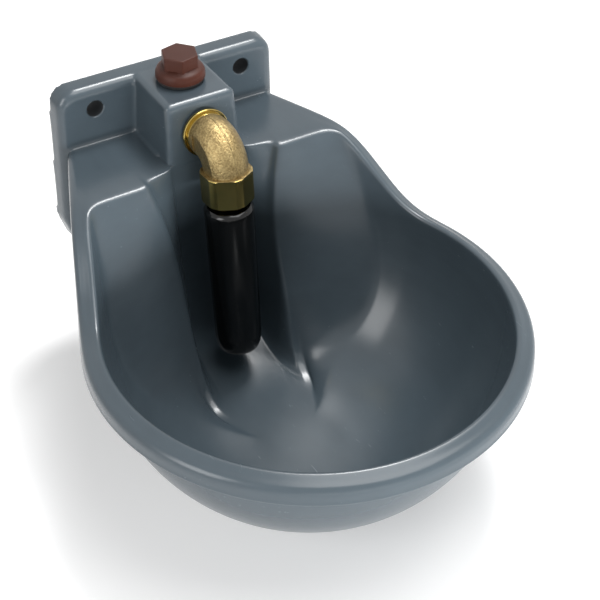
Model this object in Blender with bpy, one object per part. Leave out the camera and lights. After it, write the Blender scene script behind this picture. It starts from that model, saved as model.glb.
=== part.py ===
"""Wall-hung livestock drinking bowl with a tube valve. Metres, +Z up, wall at Y = 0, bowl towards -Y."""
import math

import bmesh
import bpy
from mathutils import Matrix, Vector

# Shared clearances and facet counts
GAP = 0.0003
OVERRUN = 0.005
ROUND_STEPS = 32
SMALL_STEPS = 16

# Bowl: plan of the rim, which is a front arc with two straight flanks that run to the wall plate
RIM_CENTRE_Y = -0.153
RIM_RADIUS = 0.110
SKIRT_HALF = 0.061
PLATE_DEPTH = 0.012
SKIRT_REACH = math.hypot(SKIRT_HALF, -RIM_CENTRE_Y - PLATE_DEPTH)
FLANK_ANGLE = (math.atan2(-RIM_CENTRE_Y - PLATE_DEPTH, SKIRT_HALF)
               - math.acos(RIM_RADIUS / SKIRT_REACH))
RIM_WIDTH = 0.0105
REAR_WALL_Y = -0.0622
CORNER_RADIUS = 0.011
FRONT_ROLL = 0.0025
REAR_ROLL = 0.004
WALL = 0.0038
SHELF_THICKNESS = 0.004

# Bowl: heights
INNER_DROP = 0.0335
OUTER_DROP = 0.0365
FLOOR_DEPTH = 0.1225
INNER_SWING_START_Y = -0.058
INNER_SWING_END_Y = -0.114
OUTER_SWING_START_Y = -0.052
OUTER_SWING_END_Y = -0.109

# Bowl: rolled lip and the skirt that it turns into beside the wall plate
LIP_HEIGHT = 0.009
LIP_THICKNESS = 0.0028
LIP_ROLL = 0.0025
SKIRT_HEIGHT = 0.050
HIDDEN_LIP = 0.001
HIDDEN_ROLL = 0.0008

# Bowl: basin
FRONT_FLOOR_RADIUS = 0.020
REAR_FLOOR_RADIUS = 0.0526
REAR_FLOOR_ANGLE = math.radians(38.8)
LOBE_FLOOR_Y = -0.113
FRONT_POWER = 1.87
LOBE_POWER = 4.0
LOBE_LEAN_SHARE = 0.58
CHANNEL_POWER = 12.0
CHANNEL_LEAN_SHARE = 0.585
SHELL_POWER = 6.0
WALL_ROWS = 8
FLOOR_ROW_SHARES = (0.40, 0.75)
ARC_COLUMNS = 16
FLANK_COLUMNS = 4
CORNER_COLUMNS = 4
SKIRT_OUTER_SHARES = (0.0, 0.0, 0.96, 0.82, 0.67, 0.52)

# Bowl: channel behind the tube
CHANNEL_TOP_Y = -0.0503
CHANNEL_FLOOR_Y = -0.072
CHANNEL_TOP_HALF = 0.0213
CHANNEL_FLOOR_HALF = 0.0193
CHANNEL_COLUMN_SHARES = (0.0, 0.38, 0.72)
FOOT_ROUND = 0.0035
RIDGE_ROUND = 0.0038
RIDGE_HALF = 0.028
RIDGE_DEPTH_SHARES = (0.0, 0.09, 0.19, 0.36, 0.76, 0.94, 0.985, 1.0)
RIDGE_WIDTH_SHARES = (1.30, 1.26, 1.07, 1.007, 1.0, 1.03, 1.18, 1.28)
SHELF_COLUMN_SHARES = (0.0, 0.14, 0.26, 0.34, 0.41, 0.49, 0.59, 0.66, 0.73, 0.81, 0.91)

# Bowl: wall plate
BOLT_SPACING = 0.085
BOLT_HEIGHT = 0.0197
BOLT_HOLE_RADIUS = 0.0045
BOLT_PAD_HALF = 0.010
BOLT_EDGE = 0.020
PLATE_SKIN = 0.004
PLATE_TOP = 0.0326
PLATE_TOP_HALF = BOLT_SPACING / 2.0 + BOLT_EDGE
PLATE_LOW = -0.046
PLATE_SIDE_MARGIN = 0.0042
PLATE_LOW_HALF = SKIRT_HALF + PLATE_SIDE_MARGIN
PLATE_BOTTOM = -0.061
PLATE_FOOT_INSET = 0.001
PLATE_BOTTOM_HALF = SKIRT_HALF - PLATE_FOOT_INSET
PLATE_DRAFT = 0.001
PLATE_EDGE_ROUND = 0.0045
PLATE_TOP_CORNER = 0.0095
PLATE_LOW_CORNER = 0.009
PLATE_RIM = 0.0065
PLATE_RIB = 0.004
SHELF_RIB_HALF = 0.0048

# Bowl: valve block
BLOCK_TOP = 0.032
BLOCK_TOP_HALF = 0.0194
BLOCK_LOW = -0.003
BLOCK_LOW_HALF = 0.0214
BLOCK_FACE_Y = -0.047
BLOCK_EDGE_ROUND = 0.0045
BLOCK_WALL = 0.0037
BLOCK_ROOF = 0.0043
FACE_LEAN = math.radians(6.0)
PORT_HEIGHT = 0.014

# Inlet tee
TEE_Y = -0.025
TEE_RADIUS = 0.013
TEE_BORE_RADIUS = 0.0093
TEE_BOTTOM = -0.014
THREAD_RADIUS = 0.0102
SOCKET_DEPTH = 0.011

# Top plug and its gasket
GASKET_THICKNESS = 0.0014
GASKET_RADIUS = 0.0120
PLUG_COLLAR_RADIUS = 0.0128
PLUG_COLLAR_EDGE = 0.0016
PLUG_COLLAR_HEIGHT = 0.0038
PLUG_HEX_FLATS = 0.0172
PLUG_HEX_HEIGHT = 0.0080
PLUG_HEX_TURN = math.radians(12.0)
PLUG_CHAMFER = 0.0008
PLUG_SHANK_LENGTH = 0.0155
PLUG_BORE_RADIUS = 0.0065
PLUG_CROWN = 0.004

# Elbow, in the valve's own frame: origin where its two axes meet, outlet along -Z
ELBOW_REACH = 0.0221
ELBOW_RADIUS = 0.012
ELBOW_BEND = 0.0125
ELBOW_BEND_STEPS = 9
ELBOW_BORE_RADIUS = 0.007
ELBOW_GASKET_THICKNESS = 0.0008
FLANGE_RADIUS = 0.0128
FLANGE_THICKNESS = 0.0018
SHOULDER_RADIUS = 0.0112
SHOULDER_THICKNESS = 0.0014
SPIGOT_ENTRY = 0.006
COLLAR_TOP = 0.0135
COLLAR_BOTTOM = 0.030
COLLAR_FLATS = 0.0252
COLLAR_CORNER_RADIUS = 0.0135
COLLAR_CHAMFER = 0.0008
CHAMBER_RADIUS = 0.0088
CHAMBER_TOP = 0.013
SOCKET_TOP = 0.019

# Valve seat bush, its gasket and the rubber seat ring
SEAT_GASKET_THICKNESS = 0.001
NECK_RADIUS = 0.0088
NECK_BOTTOM = 0.0365
SEAT_BORE_RADIUS = 0.005
RECESS_RADIUS = 0.008
RECESS_DEPTH = 0.002
LIP_PLANE = 0.021
RING_LIP_INNER = 0.0029
RING_LIP_OUTER = 0.0034
RING_LIP_RISE = 0.0008

# Valve head, stem and spring
HEAD_GAP = 0.00035
HEAD_RADIUS = 0.0064
HEAD_THICKNESS = 0.0024
HEAD_EDGE_ROUND = 0.0007
STEM_RADIUS = 0.0016
STEM_CAP_RADIUS = 0.003
STEM_CAP_HEIGHT = 0.0013
STEM_SHOULDER_RADIUS = 0.003
STEM_SHOULDER_HEIGHT = 0.0013
STEM_END_REACH = 0.0012
SPRING_WIRE_RADIUS = 0.00035
SPRING_WIDE_RADIUS = 0.0079
SPRING_NARROW_RADIUS = 0.0042
SPRING_TURNS = 3
SPRING_STEPS_PER_TURN = 16
SPRING_WIRE_STEPS = 8

# Drinking tube with its hub, washer and nut
TUBE_TOP = 0.034
TUBE_BOTTOM = 0.120
TUBE_TOP_RADIUS = 0.013
TUBE_END_RADIUS = 0.0125
TUBE_TOP_CHAMFER = 0.0013
TUBE_END_ROUND = 0.006
TUBE_END_ROUND_STEPS = 4
TUBE_MOUTH_RADIUS = 0.011
TUBE_BORE_RADIUS = 0.0082
HUB_TOP = 0.042
HUB_THICKNESS = 0.005
HUB_HOLE_COUNT = 4
HUB_HOLE_RADIUS = 0.0020
HUB_HOLE_CIRCLE = 0.0057
HUB_HOLE_TURN = math.radians(2.0)
WASHER_RADIUS = 0.0034
WASHER_THICKNESS = 0.0008
NUT_FLATS = 0.0056
NUT_HEIGHT = 0.0026

MERGE_DISTANCE = 0.000001


def clear_scene():
    for block in list(bpy.data.objects):
        bpy.data.objects.remove(block, do_unlink=True)


def material(name, colour, metallic, roughness):
    made = bpy.data.materials.new(name)
    made.use_nodes = True
    shader = made.node_tree.nodes["Principled BSDF"]
    shader.inputs["Base Color"].default_value = (*colour, 1.0)
    shader.inputs["Metallic"].default_value = metallic
    shader.inputs["Roughness"].default_value = roughness
    return made


def smoothstep(share):
    held = min(max(share, 0.0), 1.0)
    return held * held * (3.0 - 2.0 * held)


def table_value(at, keys, values):
    for low in range(len(keys) - 1):
        if at <= keys[low + 1]:
            share = (at - keys[low]) / (keys[low + 1] - keys[low])
            return values[low] + share * (values[low + 1] - values[low])
    return values[-1]


def polar(radius, angle, height):
    return (radius * math.cos(angle), radius * math.sin(angle), height)


def circle(radius, height, steps):
    return [polar(radius, 2.0 * math.pi * index / steps, height) for index in range(steps)]


def hexagon(flats, corner_radius, height, steps, turn):
    """Ring on a hexagon whose corners are turned down to corner_radius. One corner lies at turn."""
    ring = []
    for index in range(steps):
        angle = 2.0 * math.pi * index / steps
        folded = (angle % (math.pi / 3.0)) - math.pi / 6.0
        radius = min(flats / 2.0 / math.cos(folded), corner_radius)
        ring.append(polar(radius, angle + turn, height))
    return ring


def loft(name, rings, look, joined_ends=False):
    """Closed solid through rings of equal count. A ring of one point is a pole."""
    mesh = bmesh.new()
    rows = [[mesh.verts.new(point) for point in ring] for ring in rings]
    pairs = list(zip(rows, rows[1:]))
    if joined_ends:
        pairs.append((rows[-1], rows[0]))
    for upper, lower in pairs:
        count = max(len(upper), len(lower))
        for index in range(count):
            following = (index + 1) % count
            corners = [upper[index % len(upper)], upper[following % len(upper)],
                       lower[following % len(lower)], lower[index % len(lower)]]
            face = list(dict.fromkeys(corners))
            if len(face) > 2:
                mesh.faces.new(face)
    bmesh.ops.recalc_face_normals(mesh, faces=mesh.faces)
    return finish(name, mesh, look)


def finish(name, mesh, look):
    data = bpy.data.meshes.new(name)
    mesh.to_mesh(data)
    mesh.free()
    made = bpy.data.objects.new(name, data)
    bpy.context.collection.objects.link(made)
    if look is not None:
        data.materials.append(look)
    return made


def lathe(name, profile, look, steps=ROUND_STEPS, joined_ends=True):
    """Turned solid from (radius, height) points. A point at radius zero is a pole."""
    rings = []
    for radius, height in profile:
        rings.append([(0.0, 0.0, height)] if radius == 0.0 else circle(radius, height, steps))
    return loft(name, rings, look, joined_ends)


def box(name, low, high):
    corners = [(low[0], low[1]), (high[0], low[1]), (high[0], high[1]), (low[0], high[1])]
    mesh = bmesh.new()
    lower = [mesh.verts.new((x, y, low[2])) for x, y in corners]
    upper = [mesh.verts.new((x, y, high[2])) for x, y in corners]
    close_prism(mesh, lower, upper)
    return finish(name, mesh, None)


def close_prism(mesh, lower, upper):
    mesh.faces.new(lower)
    mesh.faces.new(upper)
    for index in range(len(lower)):
        following = (index + 1) % len(lower)
        mesh.faces.new([lower[index], lower[following], upper[following], upper[index]])
    bmesh.ops.recalc_face_normals(mesh, faces=mesh.faces)


def cylinder(name, start, end, radius, steps=ROUND_STEPS):
    """Plain cylinder between two points."""
    axis = Vector(end) - Vector(start)
    turn = axis.to_track_quat("Z", "Y").to_matrix().to_4x4()
    place = Matrix.Translation(start) @ turn
    mesh = bmesh.new()
    lower = [mesh.verts.new(place @ Vector(point)) for point in circle(radius, 0.0, steps)]
    upper = [mesh.verts.new(place @ Vector(point)) for point in circle(radius, axis.length, steps)]
    close_prism(mesh, lower, upper)
    return finish(name, mesh, None)


def combine(target, tools, operation):
    """Apply Boolean tools one after another and drop them."""
    for tool in tools:
        step = target.modifiers.new("combine", "BOOLEAN")
        step.operation = operation
        step.solver = "EXACT"
        step.object = tool
        bpy.context.view_layer.update()
        graph = bpy.context.evaluated_depsgraph_get()
        solved = bpy.data.meshes.new_from_object(target.evaluated_get(graph))
        target.modifiers.clear()
        old = target.data
        target.data = solved
        bpy.data.meshes.remove(old)
        bpy.data.objects.remove(tool, do_unlink=True)


def tidy_mesh(made):
    mesh = bmesh.new()
    mesh.from_mesh(made.data)
    bmesh.ops.remove_doubles(mesh, verts=mesh.verts, dist=MERGE_DISTANCE)
    mesh.to_mesh(made.data)
    mesh.free()


def smooth(made, angle=math.radians(35.0)):
    made.data.shade_smooth()
    made.data.set_sharp_from_angle(angle=angle)


# Bowl

def wall_shares():
    """Depth share of each wall row, close together towards the floor."""
    shares = []
    for index in range(WALL_ROWS + 1):
        angle = math.pi / 2.0 * index / WALL_ROWS
        shares.append(math.sin(angle) ** (2.0 / FRONT_POWER))
    shares[-1] = 1.0
    return shares


def run_share(depth_share, lean_share, power):
    """How far towards the floor outline a wall has come at a share of its depth."""
    curve = 1.0 - (1.0 - depth_share ** power) ** (1.0 / power)
    return lean_share * depth_share + (1.0 - lean_share) * curve


def mixed(start, end, share):
    return tuple(a + (b - a) * share for a, b in zip(start, end))


def unit(vector):
    return tuple(Vector(vector).normalized())


def flank_point(inset, along):
    """Point on a line beside the right flank, inset from the outer edge, along it towards the wall."""
    outward = (math.cos(FLANK_ANGLE), math.sin(FLANK_ANGLE))
    heading = (-math.sin(FLANK_ANGLE), math.cos(FLANK_ANGLE))
    reach = RIM_RADIUS - inset
    return (reach * outward[0] + heading[0] * along, RIM_CENTRE_Y + reach * outward[1] + heading[1] * along)


def flank_length(inset, to_y):
    start_y = flank_point(inset, 0.0)[1]
    return (to_y - start_y) / math.cos(FLANK_ANGLE)


def top_height(point_y, start_y, end_y, drop):
    return -drop * smoothstep((point_y - start_y) / (end_y - start_y))


class Column:
    """One column of the bowl's grid, from the middle of the floor over the rim to the underside."""

    def __init__(self, inward, roll, outer, outward, back, lip, lip_roll, shell_power):
        self.inward = unit((*inward, 0.0))[:2]
        self.roll = roll
        self.outer = outer
        self.outward = unit((*outward, 0.0))[:2]
        self.back = back
        self.lip = lip
        self.lip_roll = lip_roll
        self.shell_power = shell_power
        self.walls = []

    def along(self, start, end, lean_share, power, shares):
        for share in shares:
            self.walls.append(mixed(start, end, run_share(share, lean_share, power)))

    def points(self, shares):
        inner_top = tuple(w - i * self.roll for w, i in zip(self.walls[0], self.inward))
        inner_z = top_height(inner_top[1], INNER_SWING_START_Y, INNER_SWING_END_Y, INNER_DROP)
        outer_z = top_height(self.outer[1], OUTER_SWING_START_Y, OUTER_SWING_END_Y, OUTER_DROP)
        wall_z = inner_z - self.roll
        depths = [wall_z - (wall_z + FLOOR_DEPTH) * share for share in shares]
        centre = (0.0, RIM_CENTRE_Y)
        inside = []
        for share in FLOOR_ROW_SHARES:
            inside.append((*mixed(centre, self.walls[-1], share), -FLOOR_DEPTH))
        for place, height in zip(reversed(self.walls), reversed(depths)):
            inside.append((*place, height))
        half = math.pi / 4.0
        rolled = tuple(t + i * self.roll * math.sin(half) for t, i in zip(inner_top, self.inward))
        rim = [(*rolled, inner_z - self.roll * (1.0 - math.cos(half))), (*inner_top, inner_z)]
        edge = tuple(o - e * self.lip_roll for o, e in zip(self.outer, self.outward))
        rim.append((*mixed(inner_top, edge, 0.5), (inner_z + outer_z) / 2.0))
        rim.append((*edge, outer_z))
        for angle in (math.pi / 6.0, math.pi / 3.0, math.pi / 2.0):
            place = tuple(c + e * self.lip_roll * math.sin(angle) for c, e in zip(edge, self.outward))
            rim.append((*place, outer_z - self.lip_roll * (1.0 - math.cos(angle))))
        low_z = outer_z - self.lip
        behind = tuple(o - e * LIP_THICKNESS for o, e in zip(self.outer, self.outward))
        rim.append((*self.outer, low_z))
        rim.append((*behind, low_z))
        rim.append((*behind, outer_z - SHELF_THICKNESS))
        start = tuple(t + b for t, b in zip(inner_top, self.back))
        rim.append((*start, inner_z - SHELF_THICKNESS))
        outside = []
        for place, height, share in list(zip(self.walls, depths, shares))[1:]:
            kept = (1.0 - share ** self.shell_power) ** (1.0 / self.shell_power)
            moved = tuple(p + b * kept for p, b in zip(place, self.back))
            outside.append((*moved, height - WALL * share))
        for share in reversed(FLOOR_ROW_SHARES):
            outside.append((*mixed(centre, self.walls[-1], share), -FLOOR_DEPTH - WALL))
        return inside + rim + outside


def channel_columns(shares):
    """Half of the channel, its side wall and its ridge, from the middle outwards."""
    plate_y = -PLATE_DEPTH + PLATE_SKIN / 2.0 + HIDDEN_LIP
    widths = [share * (SKIRT_HALF - HIDDEN_LIP) for share in SHELF_COLUMN_SHARES]
    lip = SHELF_THICKNESS + HIDDEN_LIP
    wall_y = [CHANNEL_TOP_Y + (CHANNEL_FLOOR_Y - CHANNEL_TOP_Y)
              * run_share(share, CHANNEL_LEAN_SHARE, CHANNEL_POWER) for share in shares]
    lobe_y = [REAR_WALL_Y + (LOBE_FLOOR_Y - REAR_WALL_Y)
              * run_share(share, LOBE_LEAN_SHARE, LOBE_POWER) for share in shares]
    foot_x = [CHANNEL_TOP_HALF + (CHANNEL_FLOOR_HALF - CHANNEL_TOP_HALF) * share for share in shares]
    ridge_x = [RIDGE_HALF * table_value(share, RIDGE_DEPTH_SHARES, RIDGE_WIDTH_SHARES) for share in shares]
    columns = []

    def add(inward, roll, back):
        column = Column(inward, roll, (widths[len(columns)], plate_y), (0.0, 1.0), back, lip,
                        HIDDEN_ROLL, SHELL_POWER)
        columns.append(column)
        return column

    for width_share in CHANNEL_COLUMN_SHARES:
        column = add((0.0, -1.0), HIDDEN_ROLL, (0.0, WALL))
        column.walls = [(x * width_share, y) for x, y in zip(foot_x, wall_y)]
    column = add((-0.3, -1.0), HIDDEN_ROLL, (WALL * 0.9, WALL))
    column.walls = [(x - FOOT_ROUND * 0.3, y - FOOT_ROUND * 0.2) for x, y in zip(foot_x, wall_y)]
    column = add((-0.3, -1.0), HIDDEN_ROLL, (WALL, WALL * 0.9))
    column.walls = [(x + FOOT_ROUND * 0.1, y - FOOT_ROUND) for x, y in zip(foot_x, wall_y)]
    ridge_c = [(x - RIDGE_ROUND * 0.32, y + RIDGE_ROUND * 1.3) for x, y in zip(ridge_x, lobe_y)]
    column = add((-0.35, -1.0), REAR_ROLL * 0.6, (WALL, WALL * 0.6))
    column.walls = [mixed(a, b, 0.5) for a, b in zip(columns[-2].walls, ridge_c)]
    column = add((-0.8, -0.6), REAR_ROLL, (WALL * 0.7, WALL * 0.9))
    column.walls = ridge_c
    column = add((-0.5, -0.85), REAR_ROLL, (WALL * 0.95, WALL * 0.9))
    column.walls = [(x, y + RIDGE_ROUND * 0.3) for x, y in zip(ridge_x, lobe_y)]
    column = add((-0.15, -1.0), REAR_ROLL, (WALL * 0.55, WALL))
    column.walls = [(x + RIDGE_ROUND * 0.92, y) for x, y in zip(ridge_x, lobe_y)]
    return columns, widths, plate_y


def half_bowl(shares):
    """All columns of the right half, from the middle of the rear to the middle of the front."""
    columns, widths, plate_y = channel_columns(shares)
    outward = (math.cos(FLANK_ANGLE), math.sin(FLANK_ANGLE))
    corner_x = flank_point(RIM_WIDTH, flank_length(RIM_WIDTH, REAR_WALL_Y))[0]
    turned = math.pi / 2.0 - FLANK_ANGLE
    cut = CORNER_RADIUS * math.tan(turned / 2.0)
    corner_start_x = corner_x - cut
    ridge_end = columns[-1].walls
    lobe_end = (REAR_FLOOR_RADIUS * math.cos(REAR_FLOOR_ANGLE),
                RIM_CENTRE_Y + REAR_FLOOR_RADIUS * math.sin(REAR_FLOOR_ANGLE))
    for share in (0.28, 0.66):
        start = (ridge_end[0][0] + (corner_start_x - ridge_end[0][0]) * share, REAR_WALL_Y)
        end = mixed(ridge_end[-1], lobe_end, 0.5 + 0.5 * smoothstep((share - 0.28) / 0.38))
        column = Column((0.0, -1.0), REAR_ROLL, (widths[len(columns)], plate_y), (0.0, 1.0),
                        (0.0, WALL), SHELF_THICKNESS + HIDDEN_LIP, HIDDEN_ROLL, SHELL_POWER)
        column.along(start, end, LOBE_LEAN_SHARE, LOBE_POWER, shares)
        columns.append(column)
    outer_length = flank_length(0.0, -PLATE_DEPTH)
    inner_length = flank_length(RIM_WIDTH, REAR_WALL_Y) - cut
    total = CORNER_COLUMNS + FLANK_COLUMNS
    for index in range(total + 1):
        done = (index + 1) / (total + 1)
        blend = smoothstep(done)
        if index <= CORNER_COLUMNS:
            angle = math.pi / 2.0 - turned * index / CORNER_COLUMNS
            inward = (-math.cos(angle), -math.sin(angle))
            start = (corner_start_x + CORNER_RADIUS * math.cos(angle),
                     REAR_WALL_Y - CORNER_RADIUS + CORNER_RADIUS * math.sin(angle))
        else:
            share = (index - CORNER_COLUMNS) / FLANK_COLUMNS
            inward = (-outward[0], -outward[1])
            start = flank_point(RIM_WIDTH, inner_length * (1.0 - share))
        if index == 0:
            outer = (SKIRT_HALF - HIDDEN_LIP, plate_y - HIDDEN_LIP / 2.0)
            reach_share = 1.0
        elif index <= CORNER_COLUMNS:
            reach_share = SKIRT_OUTER_SHARES[index + 1]
            outer = flank_point(0.0, outer_length * reach_share)
        else:
            reach_share = SKIRT_OUTER_SHARES[-1] * (1.0 - share)
            outer = flank_point(0.0, outer_length * reach_share)
        radius = REAR_FLOOR_RADIUS + (FRONT_FLOOR_RADIUS - REAR_FLOOR_RADIUS) * blend
        bearing = REAR_FLOOR_ANGLE + (FLANK_ANGLE - REAR_FLOOR_ANGLE) * done
        end = (radius * math.cos(bearing), RIM_CENTRE_Y + radius * math.sin(bearing))
        roll = REAR_ROLL + (FRONT_ROLL - REAR_ROLL) * blend
        lip = LIP_HEIGHT + (SKIRT_HEIGHT - LIP_HEIGHT) * smoothstep(reach_share)
        power = LOBE_POWER + (FRONT_POWER - LOBE_POWER) * blend
        shell = SHELL_POWER + (FRONT_POWER - SHELL_POWER) * blend
        back = (-inward[0] * WALL, -inward[1] * WALL)
        column = Column(inward, roll, outer, outward, back, lip, LIP_ROLL, shell)
        column.along(start, end, LOBE_LEAN_SHARE * (1.0 - blend), power, shares)
        columns.append(column)
    for index in range(1, ARC_COLUMNS + 1):
        angle = FLANK_ANGLE - (FLANK_ANGLE + math.pi / 2.0) * index / ARC_COLUMNS
        ray = (math.cos(angle), math.sin(angle))
        inner = RIM_RADIUS - RIM_WIDTH
        if index == ARC_COLUMNS:
            ray = (0.0, -1.0)
        start = (ray[0] * inner, RIM_CENTRE_Y + ray[1] * inner)
        end = (ray[0] * FRONT_FLOOR_RADIUS, RIM_CENTRE_Y + ray[1] * FRONT_FLOOR_RADIUS)
        outer = (ray[0] * RIM_RADIUS, RIM_CENTRE_Y + ray[1] * RIM_RADIUS)
        column = Column((-ray[0], -ray[1]), FRONT_ROLL, outer, ray, (ray[0] * WALL, ray[1] * WALL),
                        LIP_HEIGHT, LIP_ROLL, FRONT_POWER)
        column.along(start, end, 0.0, FRONT_POWER, shares)
        columns.append(column)
    return columns


def basin(look):
    """Basin, shelves, rolled lip and skirts as one closed grid."""
    shares = wall_shares()
    right = [column.points(shares) for column in half_bowl(shares)]
    left = [[(-x, y, z) for x, y, z in column] for column in right[1:-1]]
    columns = right + left[::-1]
    rings = [[(0.0, RIM_CENTRE_Y, -FLOOR_DEPTH)]]
    rings += [list(ring) for ring in zip(*columns)]
    rings.append([(0.0, RIM_CENTRE_Y, -FLOOR_DEPTH - WALL)])
    return loft("bowl", rings, look)


def rounded_outline(corners, inset, steps=5):
    """Convex outline with round corners, moved inwards. Corners are (x, z, radius), counter-clockwise."""
    count = len(corners)
    places = [Vector(corner[:2]) for corner in corners]
    moved = []
    for index in range(count):
        before = (places[index] - places[index - 1]).normalized()
        after = (places[(index + 1) % count] - places[index]).normalized()
        first = Vector((-before.y, before.x))
        second = Vector((-after.y, after.x))
        moved.append(places[index] + (first + second) * (inset / (1.0 + first.dot(second))))
    outline = []
    for index in range(count):
        before = (moved[index] - moved[index - 1]).normalized()
        after = (moved[(index + 1) % count] - moved[index]).normalized()
        radius = corners[index][2] - inset
        turn = before.angle(after)
        reach = radius * math.tan(turn / 2.0)
        middle = moved[index] - before * reach + Vector((-before.y, before.x)) * radius
        first = math.atan2(-before.x, before.y)
        for step in range(steps + 1):
            angle = first + turn * step / steps
            outline.append((middle.x + radius * math.cos(angle), middle.y + radius * math.sin(angle)))
    return outline


def wall_plate():
    corners = [(-PLATE_BOTTOM_HALF, PLATE_BOTTOM, PLATE_LOW_CORNER), (PLATE_BOTTOM_HALF, PLATE_BOTTOM,
               PLATE_LOW_CORNER), (PLATE_LOW_HALF, PLATE_LOW, PLATE_LOW_CORNER), (PLATE_TOP_HALF, PLATE_TOP,
               PLATE_TOP_CORNER), (-PLATE_TOP_HALF, PLATE_TOP, PLATE_TOP_CORNER), (-PLATE_LOW_HALF,
               PLATE_LOW, PLATE_LOW_CORNER)]
    rings = []
    shoulder = PLATE_DEPTH - PLATE_EDGE_ROUND
    rings.append([(x, 0.0, z) for x, z in rounded_outline(corners, 0.0)])
    for angle in (0.0, math.pi / 6.0, math.pi / 3.0, math.pi / 2.0):
        inset = PLATE_DRAFT * shoulder / PLATE_DEPTH + PLATE_EDGE_ROUND * (1.0 - math.cos(angle)) * 0.9
        depth = shoulder + PLATE_EDGE_ROUND * math.sin(angle)
        rings.append([(x, -depth, z) for x, z in rounded_outline(corners, inset)])
    mesh = bmesh.new()
    rows = [[mesh.verts.new(point) for point in ring] for ring in rings]
    mesh.faces.new(rows[0])
    mesh.faces.new(rows[-1])
    for upper, lower in zip(rows, rows[1:]):
        for index in range(len(upper)):
            following = (index + 1) % len(upper)
            mesh.faces.new([upper[index], upper[following], lower[following], lower[index]])
    bmesh.ops.recalc_face_normals(mesh, faces=mesh.faces)
    return finish("wall_plate", mesh, None)


def block_face_y(height):
    return BLOCK_FACE_Y - (BLOCK_TOP - height) * math.tan(FACE_LEAN)


def block_ring(height, inset):
    """Outline of the valve block at a height: round front corners, square rear ones inside the plate."""
    share = (BLOCK_TOP - height) / (BLOCK_TOP - BLOCK_LOW)
    half = BLOCK_TOP_HALF + (BLOCK_LOW_HALF - BLOCK_TOP_HALF) * share - inset
    front = block_face_y(height) + inset
    radius = BLOCK_EDGE_ROUND
    rear = -PLATE_DEPTH + PLATE_SKIN / 2.0
    ring = [(half, rear, height)]
    for step in range(6):
        angle = -math.pi / 2.0 * step / 5.0
        ring.append((half - radius + radius * math.cos(angle), front + radius + radius * math.sin(angle),
                     height))
    ring += [(-x, y, z) for x, y, z in reversed(ring)]
    return ring


def valve_block():
    rings = [block_ring(BLOCK_LOW, 0.0), block_ring(BLOCK_TOP - BLOCK_EDGE_ROUND, 0.0)]
    for angle in (math.pi / 6.0, math.pi / 3.0, math.pi / 2.0):
        height = BLOCK_TOP - BLOCK_EDGE_ROUND * (1.0 - math.sin(angle))
        rings.append(block_ring(height, BLOCK_EDGE_ROUND * (1.0 - math.cos(angle)) * 0.6))
    mesh = bmesh.new()
    rows = [[mesh.verts.new(point) for point in ring] for ring in rings]
    mesh.faces.new(rows[0])
    mesh.faces.new(rows[-1])
    for upper, lower in zip(rows, rows[1:]):
        for index in range(len(upper)):
            following = (index + 1) % len(upper)
            mesh.faces.new([upper[index], upper[following], lower[following], lower[index]])
    bmesh.ops.recalc_face_normals(mesh, faces=mesh.faces)
    return finish("valve_block", mesh, None)


def tee_cavity():
    """Space for the tee in the valve block, open below, its front parallel to the leaning face."""
    half = TEE_RADIUS + GAP
    rear = TEE_Y + half
    low = -FLOOR_DEPTH / 2.0
    high = BLOCK_TOP - BLOCK_ROOF
    inner = BLOCK_WALL / math.cos(FACE_LEAN)
    mesh = bmesh.new()
    loops = []
    for height in (low, high):
        front = block_face_y(height) + inner
        loops.append([mesh.verts.new(point) for point in
                      ((-half, front, height), (half, front, height), (half, rear, height),
                       (-half, rear, height))])
    close_prism(mesh, loops[0], loops[1])
    return finish("tee_cavity", mesh, None)


def plate_pockets():
    """Pockets in the back of the wall plate that leave a rim, ribs and solid bolt pads."""
    depth = PLATE_DEPTH - PLATE_SKIN
    tops = PLATE_TOP - PLATE_RIM
    reach = BOLT_SPACING / 2.0
    ranges = [(-BLOCK_TOP_HALF, BLOCK_TOP_HALF, SHELF_RIB_HALF, tops)]
    for side in (-1.0, 1.0):
        inner = (BLOCK_TOP_HALF + PLATE_RIB, reach - BOLT_PAD_HALF)
        outer = (reach + BOLT_PAD_HALF, PLATE_TOP_HALF - PLATE_RIM)
        near = (PLATE_RIB / 2.0, PLATE_BOTTOM_HALF / 2.0 - PLATE_RIB / 2.0)
        far = (PLATE_BOTTOM_HALF / 2.0 + PLATE_RIB / 2.0, PLATE_BOTTOM_HALF - PLATE_RIM)
        for span, low, high in ((inner, SHELF_RIB_HALF, tops), (outer, SHELF_RIB_HALF, tops - PLATE_RIM),
                                (near, PLATE_BOTTOM + PLATE_RIM, -SHELF_RIB_HALF),
                                (far, PLATE_BOTTOM + PLATE_RIM, -SHELF_RIB_HALF)):
            edges = sorted((side * span[0], side * span[1]))
            ranges.append((edges[0], edges[1], low, high))
    return [box("pocket", (x_low, -depth, z_low), (x_high, OVERRUN, z_high))
            for x_low, x_high, z_low, z_high in ranges]


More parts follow.
